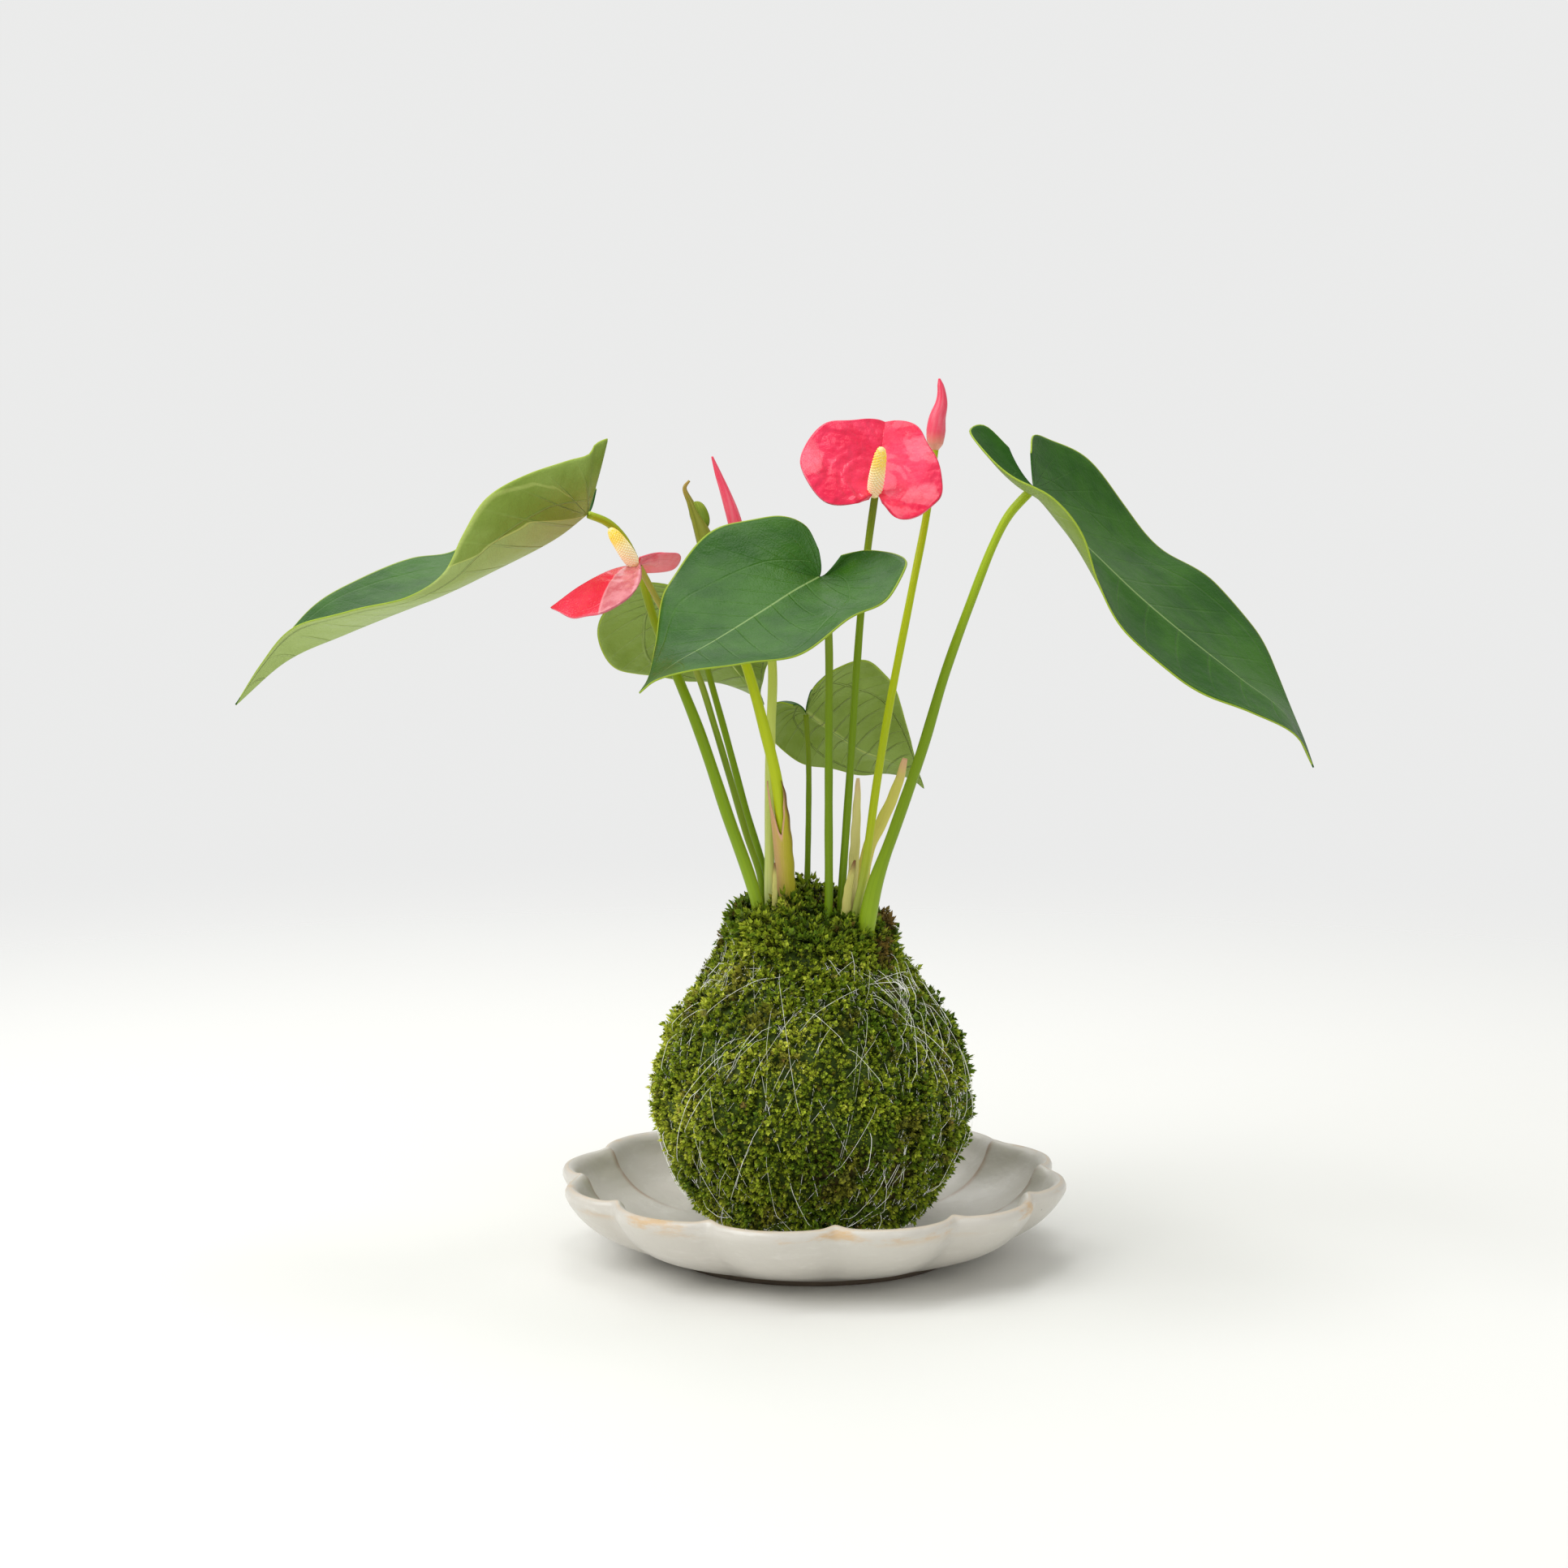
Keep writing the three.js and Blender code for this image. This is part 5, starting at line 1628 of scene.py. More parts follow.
@dataclass
class MossCover:
    """The moss: a bed painted dark as shade, and sprigs in small domed tufts all over it."""

    form: BallForm
    stems: Sequence[Stem]
    courses: Array
    sprigs: int = 40500
    tufts: int = 2100
    parts: int = 6
    leaflets: int = 8
    bare_places: int = 2
    kinds: tuple[tuple[float, float, float, float], ...] = (
        (0.46, 0.3, 78, 20), (0.56, 0.19, 62, 6), (0.4, 0.34, 88, 46),
    )
    height: float = 4.4
    tuft_radius: float = 2.6
    lean: float = 0.85
    scatter: float = 0.4
    crown: tuple[float, float] = (112, 128)
    root_depth: float = 4.1
    bed_depth: float = 3.6
    lowest_root: float = 12.5
    lowest: float = 8.7
    thread_width: float = 0.6

    def build(self) -> None:
        """Builds the bed and the sprigs."""
        self._bed()
        self._sprig_parts()

    def _bed(self) -> None:
        """Builds the bed that the sprigs stand in, painted dark as shade deep in the moss."""
        mesh = unit_grid(150, 84)
        spots = np.array([vertex.co.xy for vertex in mesh.verts])
        rest = self.form.skin(spots[:, 0], spots[:, 1], 0.0)
        uneven = patches(rest, 5, SEED + 1)

        def place(around: Array, along: Array) -> Array:
            """Where spots of the bed lie."""
            return self.form.skin(around, along, 0.8 * uneven * smooth_step(along, 0.1, 0.2) - self.bed_depth)

        shape_grid(mesh, place)
        paint = mesh.verts.layers.float_color.new("growth")
        brown = patches(rest, 22, SEED + 2)
        for index, vertex in enumerate(mesh.verts):
            # Set low on the height share, the bed takes the root's painted shade.
            vertex[paint] = (0.15 + 0.2 * uneven[index], 0.55, max(brown[index], 0.45), 1)
        bmesh.ops.remove_doubles(mesh, verts=mesh.verts[:], dist=0.02 * MM)
        bmesh.ops.recalc_face_normals(mesh, faces=mesh.faces[:])
        finish_piece("moss_bed", mesh, (MossFinish("living_moss"),), ("moss_cover",))

    def _sprig(self, kind: int) -> tuple[Array, Array, Array]:
        """One sprig, a unit tall: leaflets in a spiral round an upright stalk.

        Args:
            kind: Which of the kinds it is: each has its leaflets' length, width and lean below and above.

        Returns:
            Its points, the four corners of each leaflet, and each point's height share.
        """
        mesh = bmesh.new()
        places = self.bare_places + self.leaflets
        for place in range(self.bare_places, places):
            share = place / (places - 1)
            length, width, low, high = self.kinds[kind]
            length, width = length * (1 - 0.27 * share), width * (1 - 0.2 * share)
            lean = math.radians(low + (high - low) * share)
            matrix = (Matrix.Translation((0, 0, 0.18 + 0.6 * share))
                      @ Matrix.Rotation(GOLDEN_ANGLE * place, 4, "Z") @ Matrix.Rotation(lean, 4, "Y")
                      @ Matrix.Translation((0, 0, length / 2)) @ Matrix.Rotation(math.pi / 2, 4, "Y")
                      @ Matrix.Diagonal((length / 2, width / 2, 1, 1)))
            made = bmesh.ops.create_circle(mesh, cap_ends=True, segments=4, radius=1.0, matrix=matrix)
            made["verts"][1].co += Vector((0, 0, 0.05))
            made["verts"][3].co += Vector((0, 0, 0.05))
        points = np.array([vertex.co for vertex in mesh.verts])
        corners = np.array([[vertex.index for vertex in face.verts] for face in mesh.faces])
        mesh.free()
        return points, corners, np.clip(points[:, 2], 0, 1)

    def _clear_of_stems(self, roots: Array) -> Array:
        """Whether each root stands clear of every stem.

        Args:
            roots: Where the sprigs would stand.

        Returns:
            True for each that may.
        """
        clear = np.ones(len(roots), dtype=bool)
        for stem in self.stems:
            low = stem.line.at(np.linspace(0, 0.35, 60))
            nearest = np.min(np.linalg.norm(roots[:, None] - low[None], axis=2), axis=1)
            clear &= nearest > stem.widths[0] / 2 + 0.9
        return clear

    def _under_thread(self, spots: Array, height: Array) -> Array:
        """Presses the sprigs down where the thread runs over them.

        Args:
            spots: Where the sprigs stand.
            height: How tall they would be.

        Returns:
            How tall they are.
        """
        nearest, gap = nearest_of(self.courses[:, :3], spots)
        pressed = np.maximum(self.root_depth + self.courses[nearest, 3] - 0.2, 2.2)
        return np.where(gap < self.thread_width, np.minimum(height, pressed), height)

    def _sprig_parts(self) -> None:
        """Builds the sprigs, in tufts that lean away from their middles and parts by the way they face."""
        rng = np.random.default_rng(SEED)
        around, along = self.form.scatter(rng, self.sprigs)
        spots = self.form.skin(around, along, 0.0)
        kept = (spots[:, 2] > self.lowest_root) & self._clear_of_stems(self.form.skin(around, along, -0.5))
        around, along, spots = around[kept], along[kept], spots[kept]
        outward = self.form.outward(around, along)
        middles = self.form.skin(*self.form.scatter(rng, self.tufts), 0.0)
        tuft, _ = nearest_of(middles, spots)
        away = spots - middles[tuft]
        distance = np.linalg.norm(away, axis=1, keepdims=True)
        lean = away / np.maximum(distance, 0.3) * np.minimum(distance / self.tuft_radius, 1.1)
        direction = outward + self.lean * lean + rng.normal(scale=self.scatter, size=spots.shape)
        direction /= np.linalg.norm(direction, axis=1, keepdims=True)
        # A sprig is tallest in the middle of its tuft, and each tuft has its own height and tint.
        dome = 1.04 - 0.42 * np.minimum(distance[:, 0] / self.tuft_radius, 1.2) ** 2
        tall = rng.uniform(0.7, 1.2, len(tuft)) * (0.8 + 0.4 * rng.random(self.tufts))[tuft]
        tall *= 1 + 0.1 * patches(spots, 11, SEED + 6) + (rng.random(len(tuft)) > 0.985) * 0.3
        crown = smooth_step(spots[:, 2], *self.crown)
        height = self._under_thread(spots, self.height * dome * tall * (1 + 0.3 * crown))
        own = rng.random(self.tufts)[tuft]
        tint = 0.16 + 0.4 * own + 0.3 * rng.random(len(tuft)) + 0.16 * patches(spots, 26, SEED + 3)
        # The left side is painted lighter, a painted light from the left, and the crown is duller and
        # browner.
        tint -= 0.0026 * spots[:, 0] + 0.14 * crown
        brown = np.maximum(patches(spots, 13, SEED + 4) * 1.6 - 0.85 + 0.45 * crown, 0)
        brown = brown + (rng.random(len(tuft)) > 0.97) * 0.8
        roots = self.form.skin(around, along, -self.root_depth)
        part = np.floor(around * self.parts).astype(int)
        for number in range(self.parts):
            here = part == number
            self._join(f"moss_sprigs_{number + 1}", roots[here], direction[here], height[here], tint[here],
                       brown[here], rng)

    def _join(self, name: str, roots: Array, direction: Array, height: Array, tint: Array,
              brown: Array, rng: np.random.Generator) -> None:
        """Builds one piece of many copies of the sprigs.

        Args:
            name: The piece's name.
            roots: Where each sprig is rooted.
            direction: The way that each points.
            height: How tall each is.
            tint: Each one's share of sunny colour.
            brown: Each one's share of dry colour.
            rng: The seeded source of its kind and its turn about itself.
        """
        drawn = [self._sprig(kind) for kind in range(len(self.kinds))]
        kind = rng.integers(len(self.kinds), size=len(roots))
        points = np.array([entry[0] for entry in drawn])[kind]
        levels = np.array([entry[2] for entry in drawn])[kind]
        corners = drawn[0][1]
        side = np.cross(direction, rng.normal(size=direction.shape))
        side /= np.linalg.norm(side, axis=1, keepdims=True)
        front = np.cross(direction, side)
        turned = (points[:, :, :1] * side[:, None] + points[:, :, 1:2] * front[:, None]
                  + points[:, :, 2:] * direction[:, None])
        places = roots[:, None] + turned * height[:, None, None]
        places[:, :, 2] = np.maximum(places[:, :, 2], self.lowest)
        count = points.shape[1]
        faces = (corners[None] + np.arange(len(roots))[:, None, None] * count).reshape(-1, 4)
        data = bpy.data.meshes.new(name)
        data.vertices.add(places.shape[0] * count)
        data.vertices.foreach_set("co", (places * MM).ravel())
        data.loops.add(faces.size)
        data.loops.foreach_set("vertex_index", faces.ravel())
        data.polygons.add(len(faces))
        data.polygons.foreach_set("loop_start", np.arange(0, faces.size, 4))
        paint = data.attributes.new("growth", "FLOAT_COLOR", "POINT")
        colours = np.ones((len(roots), count, 4))
        own = np.repeat(rng.random((len(roots), count // 4)), 4, axis=1)
        colours[:, :, 0] = np.clip(tint[:, None] + 0.3 * (own - 0.5), 0, 1)
        colours[:, :, 1] = levels
        colours[:, :, 2] = brown[:, None]
        paint.data.foreach_set("color", colours.ravel())
        data.update(calc_edges=True)
        finish_piece(name, data, (MossFinish("living_moss"),), ())


@dataclass
class BindingThread:
    """Clear thread wound many times round the moss, with many turns through one spot of the neck."""

    form: BallForm
    turns: int = 76
    stretches: int = 4
    diameters: tuple[float, float] = (0.12, 0.21)
    steps: int = 150
    sides: int = 3
    hub: Point = (20, -26, 118)
    hub_share: float = 0.25
    steepness: tuple[float, float] = (math.radians(48), math.radians(88))
    stretch_angles: tuple[float, float] = (0.06, 0.24)
    sunk: float = 3.0
    rise: float = 3.2
    tops: tuple[float, float] = (106, 130)
    lowest: float = 8.6

    def _normal(self, rng: np.random.Generator, through_hub: bool) -> Array:
        """The normal of a steep turn's plane.

        Args:
            rng: The seeded source of chance.
            through_hub: Whether the turn passes the hub.

        Returns:
            The unit normal.
        """
        hub = np.array(self.hub) - (0, 0, self.form.centre_height)
        hub = hub / np.linalg.norm(hub)
        while True:
            normal = rng.normal(size=3)
            if through_hub:
                normal -= hub * (normal @ hub) + hub * rng.normal(scale=0.14)
            normal /= np.linalg.norm(normal)
            if self.steepness[0] < math.acos(min(abs(normal[2]), 1)) < self.steepness[1]:
                return normal

    def __post_init__(self) -> None:
        """Lays the turns, each with its points, their lifts and its plane's normal."""
        rng = np.random.default_rng(SEED + 9)
        normals = [self._normal(rng, turn < self.turns * self.hub_share) for turn in range(self.turns)]
        self.laid = [(*self._turn(normal, rng), normal) for normal in normals]

    def courses(self) -> Array:
        """Where the turns lie on the moss.

        Returns:
            Close points along them, each with its lift.
        """
        rows = [np.column_stack([points, lift]) for points, lift, _ in self.laid]
        halfway = [(row + np.roll(row, -1, axis=0)) / 2 for row in rows]
        close = np.vstack([*rows, *halfway])
        return close[close[:, 3] > 0.25]

    def _turn(self, normal: Array, rng: np.random.Generator) -> tuple[Array, Array]:
        """One turn round the ball, which shows in a few stretches and is sunk elsewhere.

        Args:
            normal: The normal of its plane.
            rng: The seeded source of chance.

        Returns:
            Its points, and how far each lies off the moss.
        """
        first = np.cross((0, 0, 1), normal)
        first /= np.linalg.norm(first)
        second = np.cross(normal, first)
        angle = np.linspace(0, FULL_TURN, self.steps, endpoint=False)[:, None]
        direction = first * np.cos(angle) + second * np.sin(angle)
        reach = self.form.reach(np.arcsin(direction[:, 2]))
        # Pulled tight, it doesn't follow the form's hollows.
        for _ in range(6):
            reach = np.maximum(reach, (np.roll(reach, 1) + np.roll(reach, -1)) / 2)
        middles = rng.uniform(0, FULL_TURN, self.stretches)
        lengths = rng.uniform(*self.stretch_angles, self.stretches)
        away = np.abs((angle - middles + math.pi) % FULL_TURN - math.pi) / lengths
        clear = 1 - smooth_step(np.min(away, axis=1), 0.75, 1.35)
        centre = np.array((0, 0, self.form.centre_height))
        plain = direction * reach[:, None] + centre
        lift = clear * (self.rise + rng.uniform(-0.3, 0.7)) - self.sunk
        top = rng.uniform(*self.tops)
        # Near the crown it sinks under the moss, and it follows most of a hollow's depth.
        lift = lift - (lift + 5.2) * smooth_step(plain[:, 2], top, top + 7)
        points = self.form.crown(plain + direction * (lift - 0.8 * self.form.dip(plain))[:, None])
        points[:, 2] = np.maximum(points[:, 2], self.lowest)
        return points, lift - self.form.unevenness(plain)

    def build(self) -> None:
        """Builds all the turns, as thin closed tubes in one piece."""
        angle = np.arange(self.sides) * FULL_TURN / self.sides
        places, faces = [], []
        rng = np.random.default_rng(SEED + 10)
        step, side = np.meshgrid(np.arange(self.steps), np.arange(self.sides), indexing="ij")
        after, beside = (step + 1) % self.steps, (side + 1) % self.sides
        corners = np.stack([step * self.sides + side, step * self.sides + beside,
                            after * self.sides + beside, after * self.sides + side], axis=-1).reshape(-1, 4)
        for points, _, normal in self.laid:
            outward = points - (0, 0, self.form.centre_height)
            outward /= np.linalg.norm(outward, axis=1, keepdims=True)
            radius = rng.uniform(*self.diameters) / 2
            tube = (points[:, None] + radius * (np.cos(angle)[None, :, None] * outward[:, None]
                                                + np.sin(angle)[None, :, None] * normal[None, None]))
            faces.append(corners + len(places) * self.steps * self.sides)
            places.append(tube.reshape(-1, 3))
        data = bpy.data.meshes.new("thread_turns")
        data.from_pydata((np.vstack(places) * MM).tolist(), [], np.vstack(faces).tolist())
        mesh = bmesh.new()
        mesh.from_mesh(data)
        bpy.data.meshes.remove(data)
        bmesh.ops.recalc_face_normals(mesh, faces=mesh.faces[:])
        finish_piece("thread_turns", mesh, (ThreadFinish("clear_thread"),), ("binding_thread",))


LEAVES = (
    Blade("left_leaf", (
        (-85, -10, 285.5), (-96, -14, 277), (-118, -20, 265.5), (-140, -25, 255.5), (-173.5, -29, 242),
        (-196, -30, 232), (-215.5, -30, 215.5),
    ), (
        Side((0, -6, -2), (
            (-83.2, -14, 298), (-81.4, -18, 306.6), (-76.4, -21, 313.6), (-81, -23.5, 312),
            (-83, -25.5, 308.8), (-91.5, -28, 306.6), (-105.5, -33, 301.6), (-121, -38, 292),
            (-129, -42, 280), (-136, -48, 266), (-148.5, -56, 257), (-170, -52, 252.5), (-192, -42, 245),
            (-205.5, -34, 230.5),
        )),
        Side((0, 3, -4), (
            (-82, -2, 294), (-86.5, 12, 298.5), (-100.5, 24, 296.5), (-113.5, 32, 290), (-126.5, 36, 279.5),
            (-140, 36, 268.5), (-155.5, 30, 265.5), (-175, 16, 259), (-187.5, 4, 251.5), (-201, -12, 236.5),
        )),
    ), 0.3, under=ARCHED_UNDER, ripple=0.5),
    Blade("front_leaf", (
        (2, -22, 262.5), (-7, -34, 258.5), (-16.5, -48, 253.5), (-35.5, -72, 243.5), (-51.5, -91, 235.5),
        (-62, -105, 227.5),
    ), (
        Side((2, -3, -2), (
            (2, -17, 272.5), (-3, -10, 280), (-14, -6, 285), (-30.5, -9, 282), (-46.5, -22, 271.5),
            (-55, -42, 258), (-57.5, -66, 243), (-58.5, -84, 234), (-59.5, -94, 231),
        )),
        Side((-2, 0, -4), (
            (10.5, -17, 269.5), (20, -14, 272.5), (29.5, -20, 272.5), (34.5, -32, 268.5), (28, -54, 259),
            (17, -70, 253), (4.5, -86, 246), (-9.5, -98, 240), (-25.5, -106, 237), (-43.5, -110, 236.5),
            (-56, -109, 232.5),
        )),
    ), 0.35),
    Blade("right_leaf", (
        (82, -22, 296), (93, -24, 282.5), (104, -26, 272), (121.5, -30, 255.5), (139.5, -34, 240.5),
        (157.5, -38, 226.5), (174.5, -41, 213), (185, -43, 193.5),
    ), (
        Side((-1, -1, -2.5), (
            (73, -15, 310.5), (64, -14, 317.5), (58, -22, 316.5), (63.5, -34, 310), (73, -42, 301.5),
            (87.5, -48, 292), (98, -51, 280), (103.5, -54, 264.5), (113, -60, 244.5), (132, -64, 229.5),
            (160, -60, 215), (177.5, -51, 206),
        )),
        Side((0, 2, -3), (
            (81.5, -12, 307.5), (83.5, 0, 315.5), (91.5, 10, 313), (104, 18, 305), (119.5, 22, 288),
            (135.5, 20, 269), (154, 13, 257.5), (167.5, 3, 243), (175, -13, 224.5), (181.5, -32, 206),
        )),
    ), 0.32),
    Blade("rear_left_leaf", ((-47.5, 34, 249), (-38.5, 50, 232.5), (-27.5, 66, 216), (-19, 80, 204)), (
        Side((2, 3, 3), (
            (-55, 28, 255.5), (-66.5, 28, 255), (-78.5, 32, 249), (-84, 42, 234.5), (-80, 52, 224.5),
            (-69, 62, 217), (-53.5, 70, 216), (-39, 75, 213), (-25.5, 79, 209),
        )),
        Side((-1, 3, 3), (
            (-42, 30, 255.5), (-30.5, 34, 253.5), (-20, 44, 244), (-16, 57, 230), (-19, 69, 216),
            (-20.5, 76, 209.5),
        )),
    ), 0.35, quilting=0.4),
    Blade("rear_right_leaf", (
        (-2.5, 20, 207), (5, 28, 200.5), (19.5, 42, 189.5), (37.5, 57, 181), (45, 64, 172),
    ), (
        Side((1, 3, 3), (
            (-7.5, 14, 210.5), (-14, 16, 210.5), (-16.5, 24, 203), (-14, 34, 192.5), (0, 45, 183.5),
            (16, 54, 179.5), (31, 60, 178), (40, 63, 176),
        )),
        Side((-1, 3, 3), (
            (0, 14, 216), (7.5, 12, 224.5), (19.5, 16, 227), (28.5, 26, 221.5), (35, 40, 207.5),
            (40, 54, 189), (42.5, 61, 179.5),
        )),
    ), 0.3, ripple=0.7, quilting=0.4),
)

SPATHES = (
    spathe("main_spathe", ((23.5, -8, 293.5), (25, 0, 303), (26.5, 9, 313), (27.5, 16, 319)), (
        Side((0, -2, 1), (
            (20.5, -13, 291), (14.5, -20, 289), (5, -22, 291), (-2.5, -18, 298), (-5, -11, 305.5),
            (-2, -3, 313), (6.5, 5, 319), (17.5, 11, 320.5), (24.5, 14, 320),
        )),
        Side((0, -2, 1), (
            (26, -14, 289), (32, -21, 285), (40, -22, 285.5), (47.5, -16, 292), (48, -8, 301),
            (44, 1, 310.5), (40, 8, 317.5), (32, 13, 319.5),
        )),
    ), 0.8),
    spathe("side_spathe", ((-65, -28, 267.5), (-74, -31, 266), (-85.5, -36, 260.5), (-97, -41, 252.5)), (
        Side((0, -1, 2), (
            (-64, -35, 266.5), (-64, -47, 262.5), (-68, -54, 256.5), (-75.5, -56, 253), (-81.5, -54, 250.5),
            (-87.5, -50, 249.5), (-94, -44, 251.5),
        )),
        Side((0, 1, 1), (
            (-64.5, -30, 270), (-58, -19, 271.8), (-50, -10, 269.5), (-52.5, -5, 264.5), (-64, -5, 263.5),
            (-77, -9, 261.5), (-87, -20, 257), (-93.5, -33, 253),
        )),
    ), 0.5, SIDE_SPATHE_TOP, 0.25),
)

STEMS = (
    Stem("left_leaf_stem", (
        (-19, -10, 112), (-21, -7, 135.5), (-33, -8, 172.5), (-43.5, -5, 203.5), (-52, -2, 224.5),
        (-60, 1, 243.5), (-66, 1, 263.5), (-71.5, -2, 275.5), (-77.5, -6, 282), (-84.4, -9.7, 285.2),
    ), (4.8, 4.8, 4.2, 3.4, 3)),
    Stem("front_leaf_stem", (
        (5, -7.5, 110), (6, -6.5, 132.5), (6, -7, 172), (6, -8, 209.5), (6, -10, 234.5), (5, -16, 252),
        (2.3, -21.5, 261.9),
    ), (3.2, 3.2, 3.1, 3, 2.8), Tone.DEEP),
    Stem("right_leaf_stem", (
        (17.5, -14.5, 109), (20, -13.5, 127), (23.5, -14, 145), (31, -15, 167), (41, -16, 196.5),
        (49.5, -18, 226), (58.5, -20, 252), (67.5, -21, 275.5), (73, -22, 286), (81.4, -22, 295.4),
    ), (6.5, 7, 4.6, 4.2, 4, 3.6, 3.4, 3.2, 3.5)),
    Stem("rear_left_leaf_stem", (
        (-15.5, 11, 114), (-18, 12.5, 143), (-25.5, 15, 169), (-34, 21, 200), (-40.5, 27, 222.5),
        (-45, 31, 238.5), (-47.4, 33.8, 248.3),
    ), (2.8, 2.8, 2.6, 2.4), Tone.DEEP),
    Stem("rear_right_leaf_stem", (
        (-2.5, 12, 114), (-2, 13, 142), (-1.5, 15, 169), (-1.5, 17, 188), (-2.5, 19.9, 206.4),
    ), (2.3, 2.3, 2.2, 2), Tone.DEEP),
    Stem("young_leaf_stem", (
        (-8.5, 2, 110), (-10, 1.5, 139.5), (-11.5, 0, 161.5), (-14, -2, 184), (-19, -3, 205.5),
        (-25, -1, 226.5), (-30.5, 2, 241), (-33.5, 4, 250.5),
    ), (4.8, 4.8, 4.6, 4, 3.4), Tone.PALE, "pale_stem"),
    Stem("main_flower_stem", (
        (9.5, -1.5, 110), (10.5, -2.5, 131.5), (14, -3, 184), (18, -3, 246), (20.5, -4, 271),
        (23.3, -7.8, 292.8),
    ), (3, 3, 2.9, 2.8), Tone.DEEP),
    Stem("side_flower_stem", (
        (-21, 5, 113), (-19.5, 6, 141.5), (-25.5, 5, 162), (-37, -3, 203), (-44, -11, 226),
        (-52.5, -18, 243), (-58, -23, 253.5), (-62, -26, 261.5), (-64.7, -27.8, 266.9),
    ), (2.6, 2.6, 2.5, 2.4), Tone.OLIVE),
    Stem("right_bud_stem", (
        (14.5, -5.5, 110), (16.5, -4, 132.5), (19.5, -2, 146.5), (24.5, 4, 181.5), (30, 9, 214),
        (38.5, 16, 257), (44, 21, 285), (47, 24, 308.5),
    ), (3.4, 3.2, 3, 2.8), Tone.PALE, "pale_stem"),
    Stem("left_bud_stem", (
        (-14.5, 0.5, 110), (-16.5, 1.5, 135.5), (-16.5, 6, 161), (-16.5, 9.5, 184), (-16, 12, 202),
        (-15.5, 14, 226.5), (-18, 16, 245), (-23.5, 17, 260.5), (-28, 17, 273),
    ), (4, 3.8, 3.6, 3), Tone.CREAM, "pale_stem"),
)

ROLLS = (
    Roll("young_leaf", (
        (-33.4, 4, 250.2), (-38.5, 6, 267), (-43, 7, 279.5), (-46.5, 7, 288.5), (-48.8, 7, 294.5),
        (-47, 7, 297.2),
    ), (3.4, 7.6, 9.4, 8, 5.4, 2.8, 1), Tone.YOUNG, "young_leaf", 44, 100),
    Roll("left_bud", ((-28, 17, 272.7), (-30, 17, 282), (-33.5, 17, 292.5), (-36, 17, 299), (-38.5, 17, 306)),
         (3, 6.4, 5.6, 4.2, 2.8, 0.8), Tone.BUD, "spathe", 44, 84, start=4.2),
    Roll("right_bud", (
        (47, 24, 308.2), (47.5, 24, 314.5), (48, 24, 320), (49.5, 24, 326), (49.5, 24, 330.5),
        (48.5, 24, 335.5),
    ), (3, 6.9, 7.8, 8.2, 7.7, 7, 6.2, 5.3, 4.3, 3.4, 2.6, 0.8), Tone.BUD, "spathe", 44, 84, start=5.0),
)

SPADICES = (
    Spadix("main_spadix", ((23, -9.3, 293.8), (24, -18, 302), (25.2, -23.5, 310.2)),
           (5.6, 6.2, 6.4, 6.3, 6.1, 5.8, 5.4, 4.8, 3.2)),
    Spadix("side_spadix", ((-67, -30, 268.5), (-71, -33, 275), (-75, -34, 280.8)),
           (5, 5.8, 6, 6, 5.8, 5.5, 5.2, 4.6, 3)),
)

BRACTS = (
    Bract("young_leaf_sheath", ((-9.7, 1.7, 131), (-10, 1.5, 139.5), (-11.5, 0, 161.5), (-14, -2, 184)),
          11, 3.6, (-0.3, -1, 0), SheathFinish("stem_sheath"), 0.16, 0.42, 0.55),
    Bract("middle_bract", ((13.2, 4.5, 127), (15.2, 4.5, 156), (16.2, 4.5, 184)), 4.8, 3, (0.4, -1, 0),
          taper=0.42),
    Bract("leaning_bract", ((17.5, 7, 128), (20, 10, 154), (26.5, 12, 168), (31.5, 13, 180), (34.5, 13, 191)),
          5.6, 4, (0.3, -1, 0), Tone.GREEN_BRACT.value, 0.32),
    Bract("front_bract", ((12, -8, 124), (13.5, -7.5, 143), (16, -7.5, 154)), 3.8, 2.6, (0, -1, 0),
          Tone.DARK_BRACT.value),
    Bract("left_bract", ((-14.5, -7.5, 128), (-14.5, -8, 153)), 2.1, 1.8, (0, -1, 0), Tone.DARK_BRACT.value),
    Bract("right_bract", ((19.5, -5, 124), (24, -5.5, 148), (27, -5.5, 157)), 3, 2, (0, -1, 0),
          Tone.GREEN_BRACT.value),
)


YOUNG_LEAF_LOBE = UnrolledLobe("young_leaf_lobe", (3.4, 1.2, 5.6), -0.35, (-43.2, 6.4, 284))


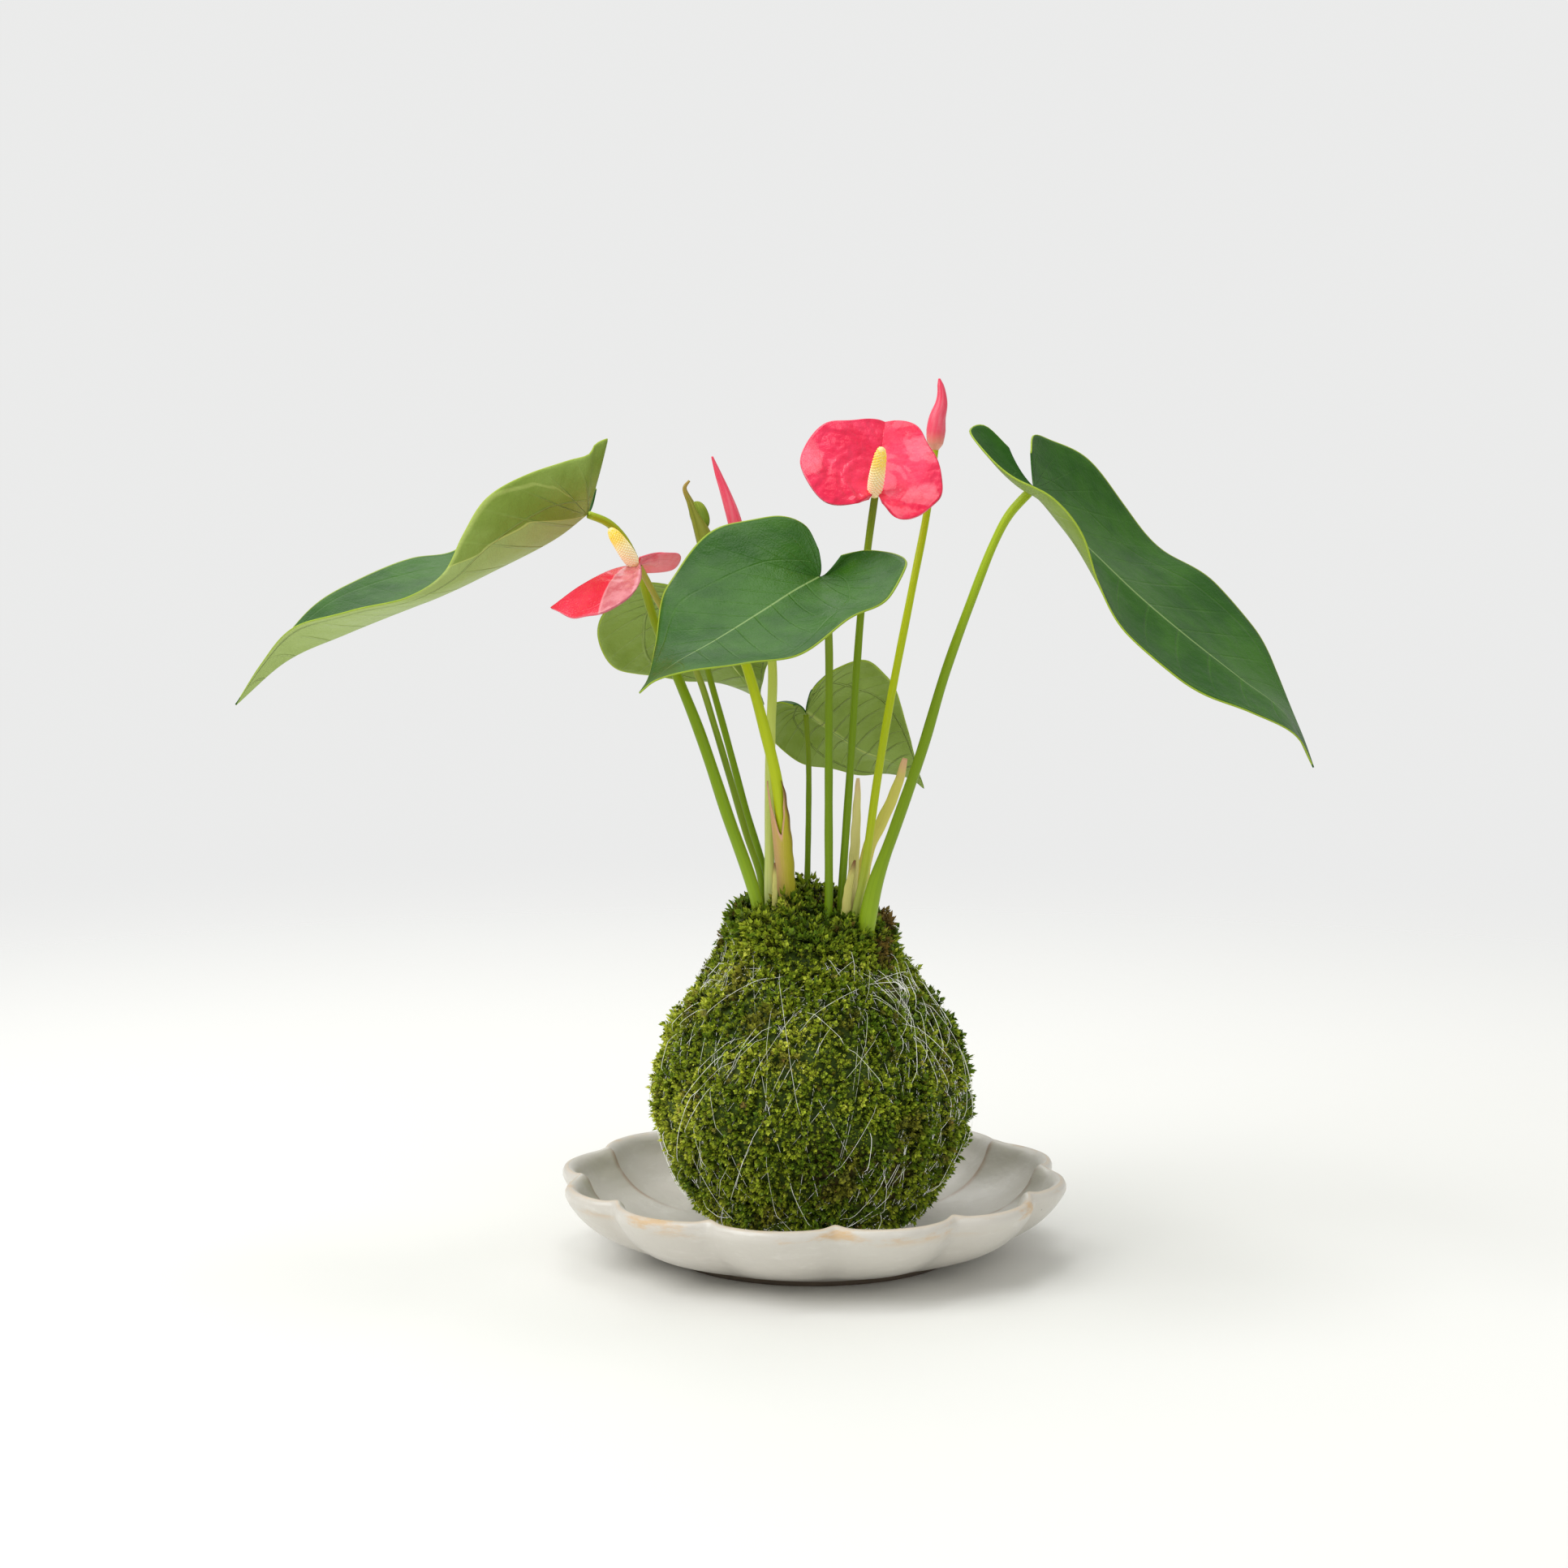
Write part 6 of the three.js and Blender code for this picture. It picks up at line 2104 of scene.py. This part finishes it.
@dataclass
class Studio:
    """The camera, the floor and the soft light, in metres."""

    camera_place: Point = (-0.011, -1.4, 0.36)
    pitch_down: float = 7.25
    lens: float = 84.8
    floor_reach: float = 8.0
    floor_colour: Colour = (0.89, 0.89, 0.86)
    sky: Colour = (0.83, 0.832, 0.828)
    room: Colour = (0.52, 0.52, 0.51)
    aim: Point = (0, 0, 0.15)
    lights: tuple[tuple[str, Point, float, float], ...] = (
        ("key", (-1.6, -0.8, 2.0), 2.2, 44.0), ("top", (0.1, 0.25, 2.6), 1.2, 15.0),
        ("fill", (1.0, -1.8, 0.9), 1.6, 5.0), ("back", (-0.5, 1.4, 1.9), 1.8, 9.0),
    )

    def build(self) -> None:
        """Makes them all."""
        self._camera()
        self._floor()
        self._sky()
        for light in self.lights:
            self._softbox(*light)

    def _camera(self) -> None:
        """The camera at the photograph's viewing angle."""
        data = bpy.data.cameras.new("camera")
        data.lens = self.lens
        data.sensor_width = 36.0
        camera = add_object("camera", data)
        camera.location = self.camera_place
        camera.rotation_euler = (math.radians(90 - self.pitch_down), 0, 0)
        bpy.context.scene.camera = camera

    def _floor(self) -> None:
        """A plain pale floor."""
        mesh = bmesh.new()
        bmesh.ops.create_circle(mesh, cap_ends=True, segments=96, radius=self.floor_reach)
        data = bpy.data.meshes.new("floor")
        mesh.to_mesh(data)
        mesh.free()
        data.materials.append(FloorFinish("pale_floor", self.floor_colour).make())
        floor = add_object("floor", data)

    def _sky(self) -> None:
        """Even pale light from all round."""
        world = bpy.data.worlds.new("studio")
        world.use_nodes = True
        graph = Graph(world.node_tree)
        seen = graph.node("ShaderNodeLightPath").outputs["Is Camera Ray"]
        graph.feed(world.node_tree.nodes["Background"].inputs[0], graph.mix(seen, self.room, self.sky))
        bpy.context.scene.world = world
        bpy.context.scene.view_settings.view_transform = "Standard"

    def _softbox(self, name: str, place: Point, size: float, power: float) -> None:
        """A large square light aimed at the plant.

        Args:
            name: Its name.
            place: Where it hangs.
            size: The length of its sides.
            power: Its power in watts.
        """
        data = bpy.data.lights.new(name, "AREA")
        data.size = size
        data.energy = power
        lamp = add_object(name, data)
        lamp.location = place
        lamp.rotation_euler = (Vector(self.aim) - Vector(place)).to_track_quat("-Z", "Y").to_euler()


def dress_node(name: str, finish: Finish) -> None:
    """Gives a CAD node that stays its finish.

    Args:
        name: The node.
        finish: Its finish.
    """
    data = bpy.data.objects[name].data
    data.materials.clear()
    data.materials.append(finish.make())
    log.info("%s: kept and dressed", name)


def main() -> None:
    """Builds the studio and every piece, in order."""
    logging.basicConfig(level=logging.INFO, format="%(name)s: %(message)s")
    Studio().build()
    dress_node("soil_ball", SoilFinish("potting_soil"))
    Dish().build()
    form = BallForm()
    thread = BindingThread(form)
    MossCover(form, STEMS, thread.courses()).build()
    thread.build()
    for piece in (*LEAVES, *SPATHES, *STEMS, *ROLLS, *SPADICES, *BRACTS, YOUNG_LEAF_LOBE):
        piece.build()


if __name__ == "__main__":
    main()
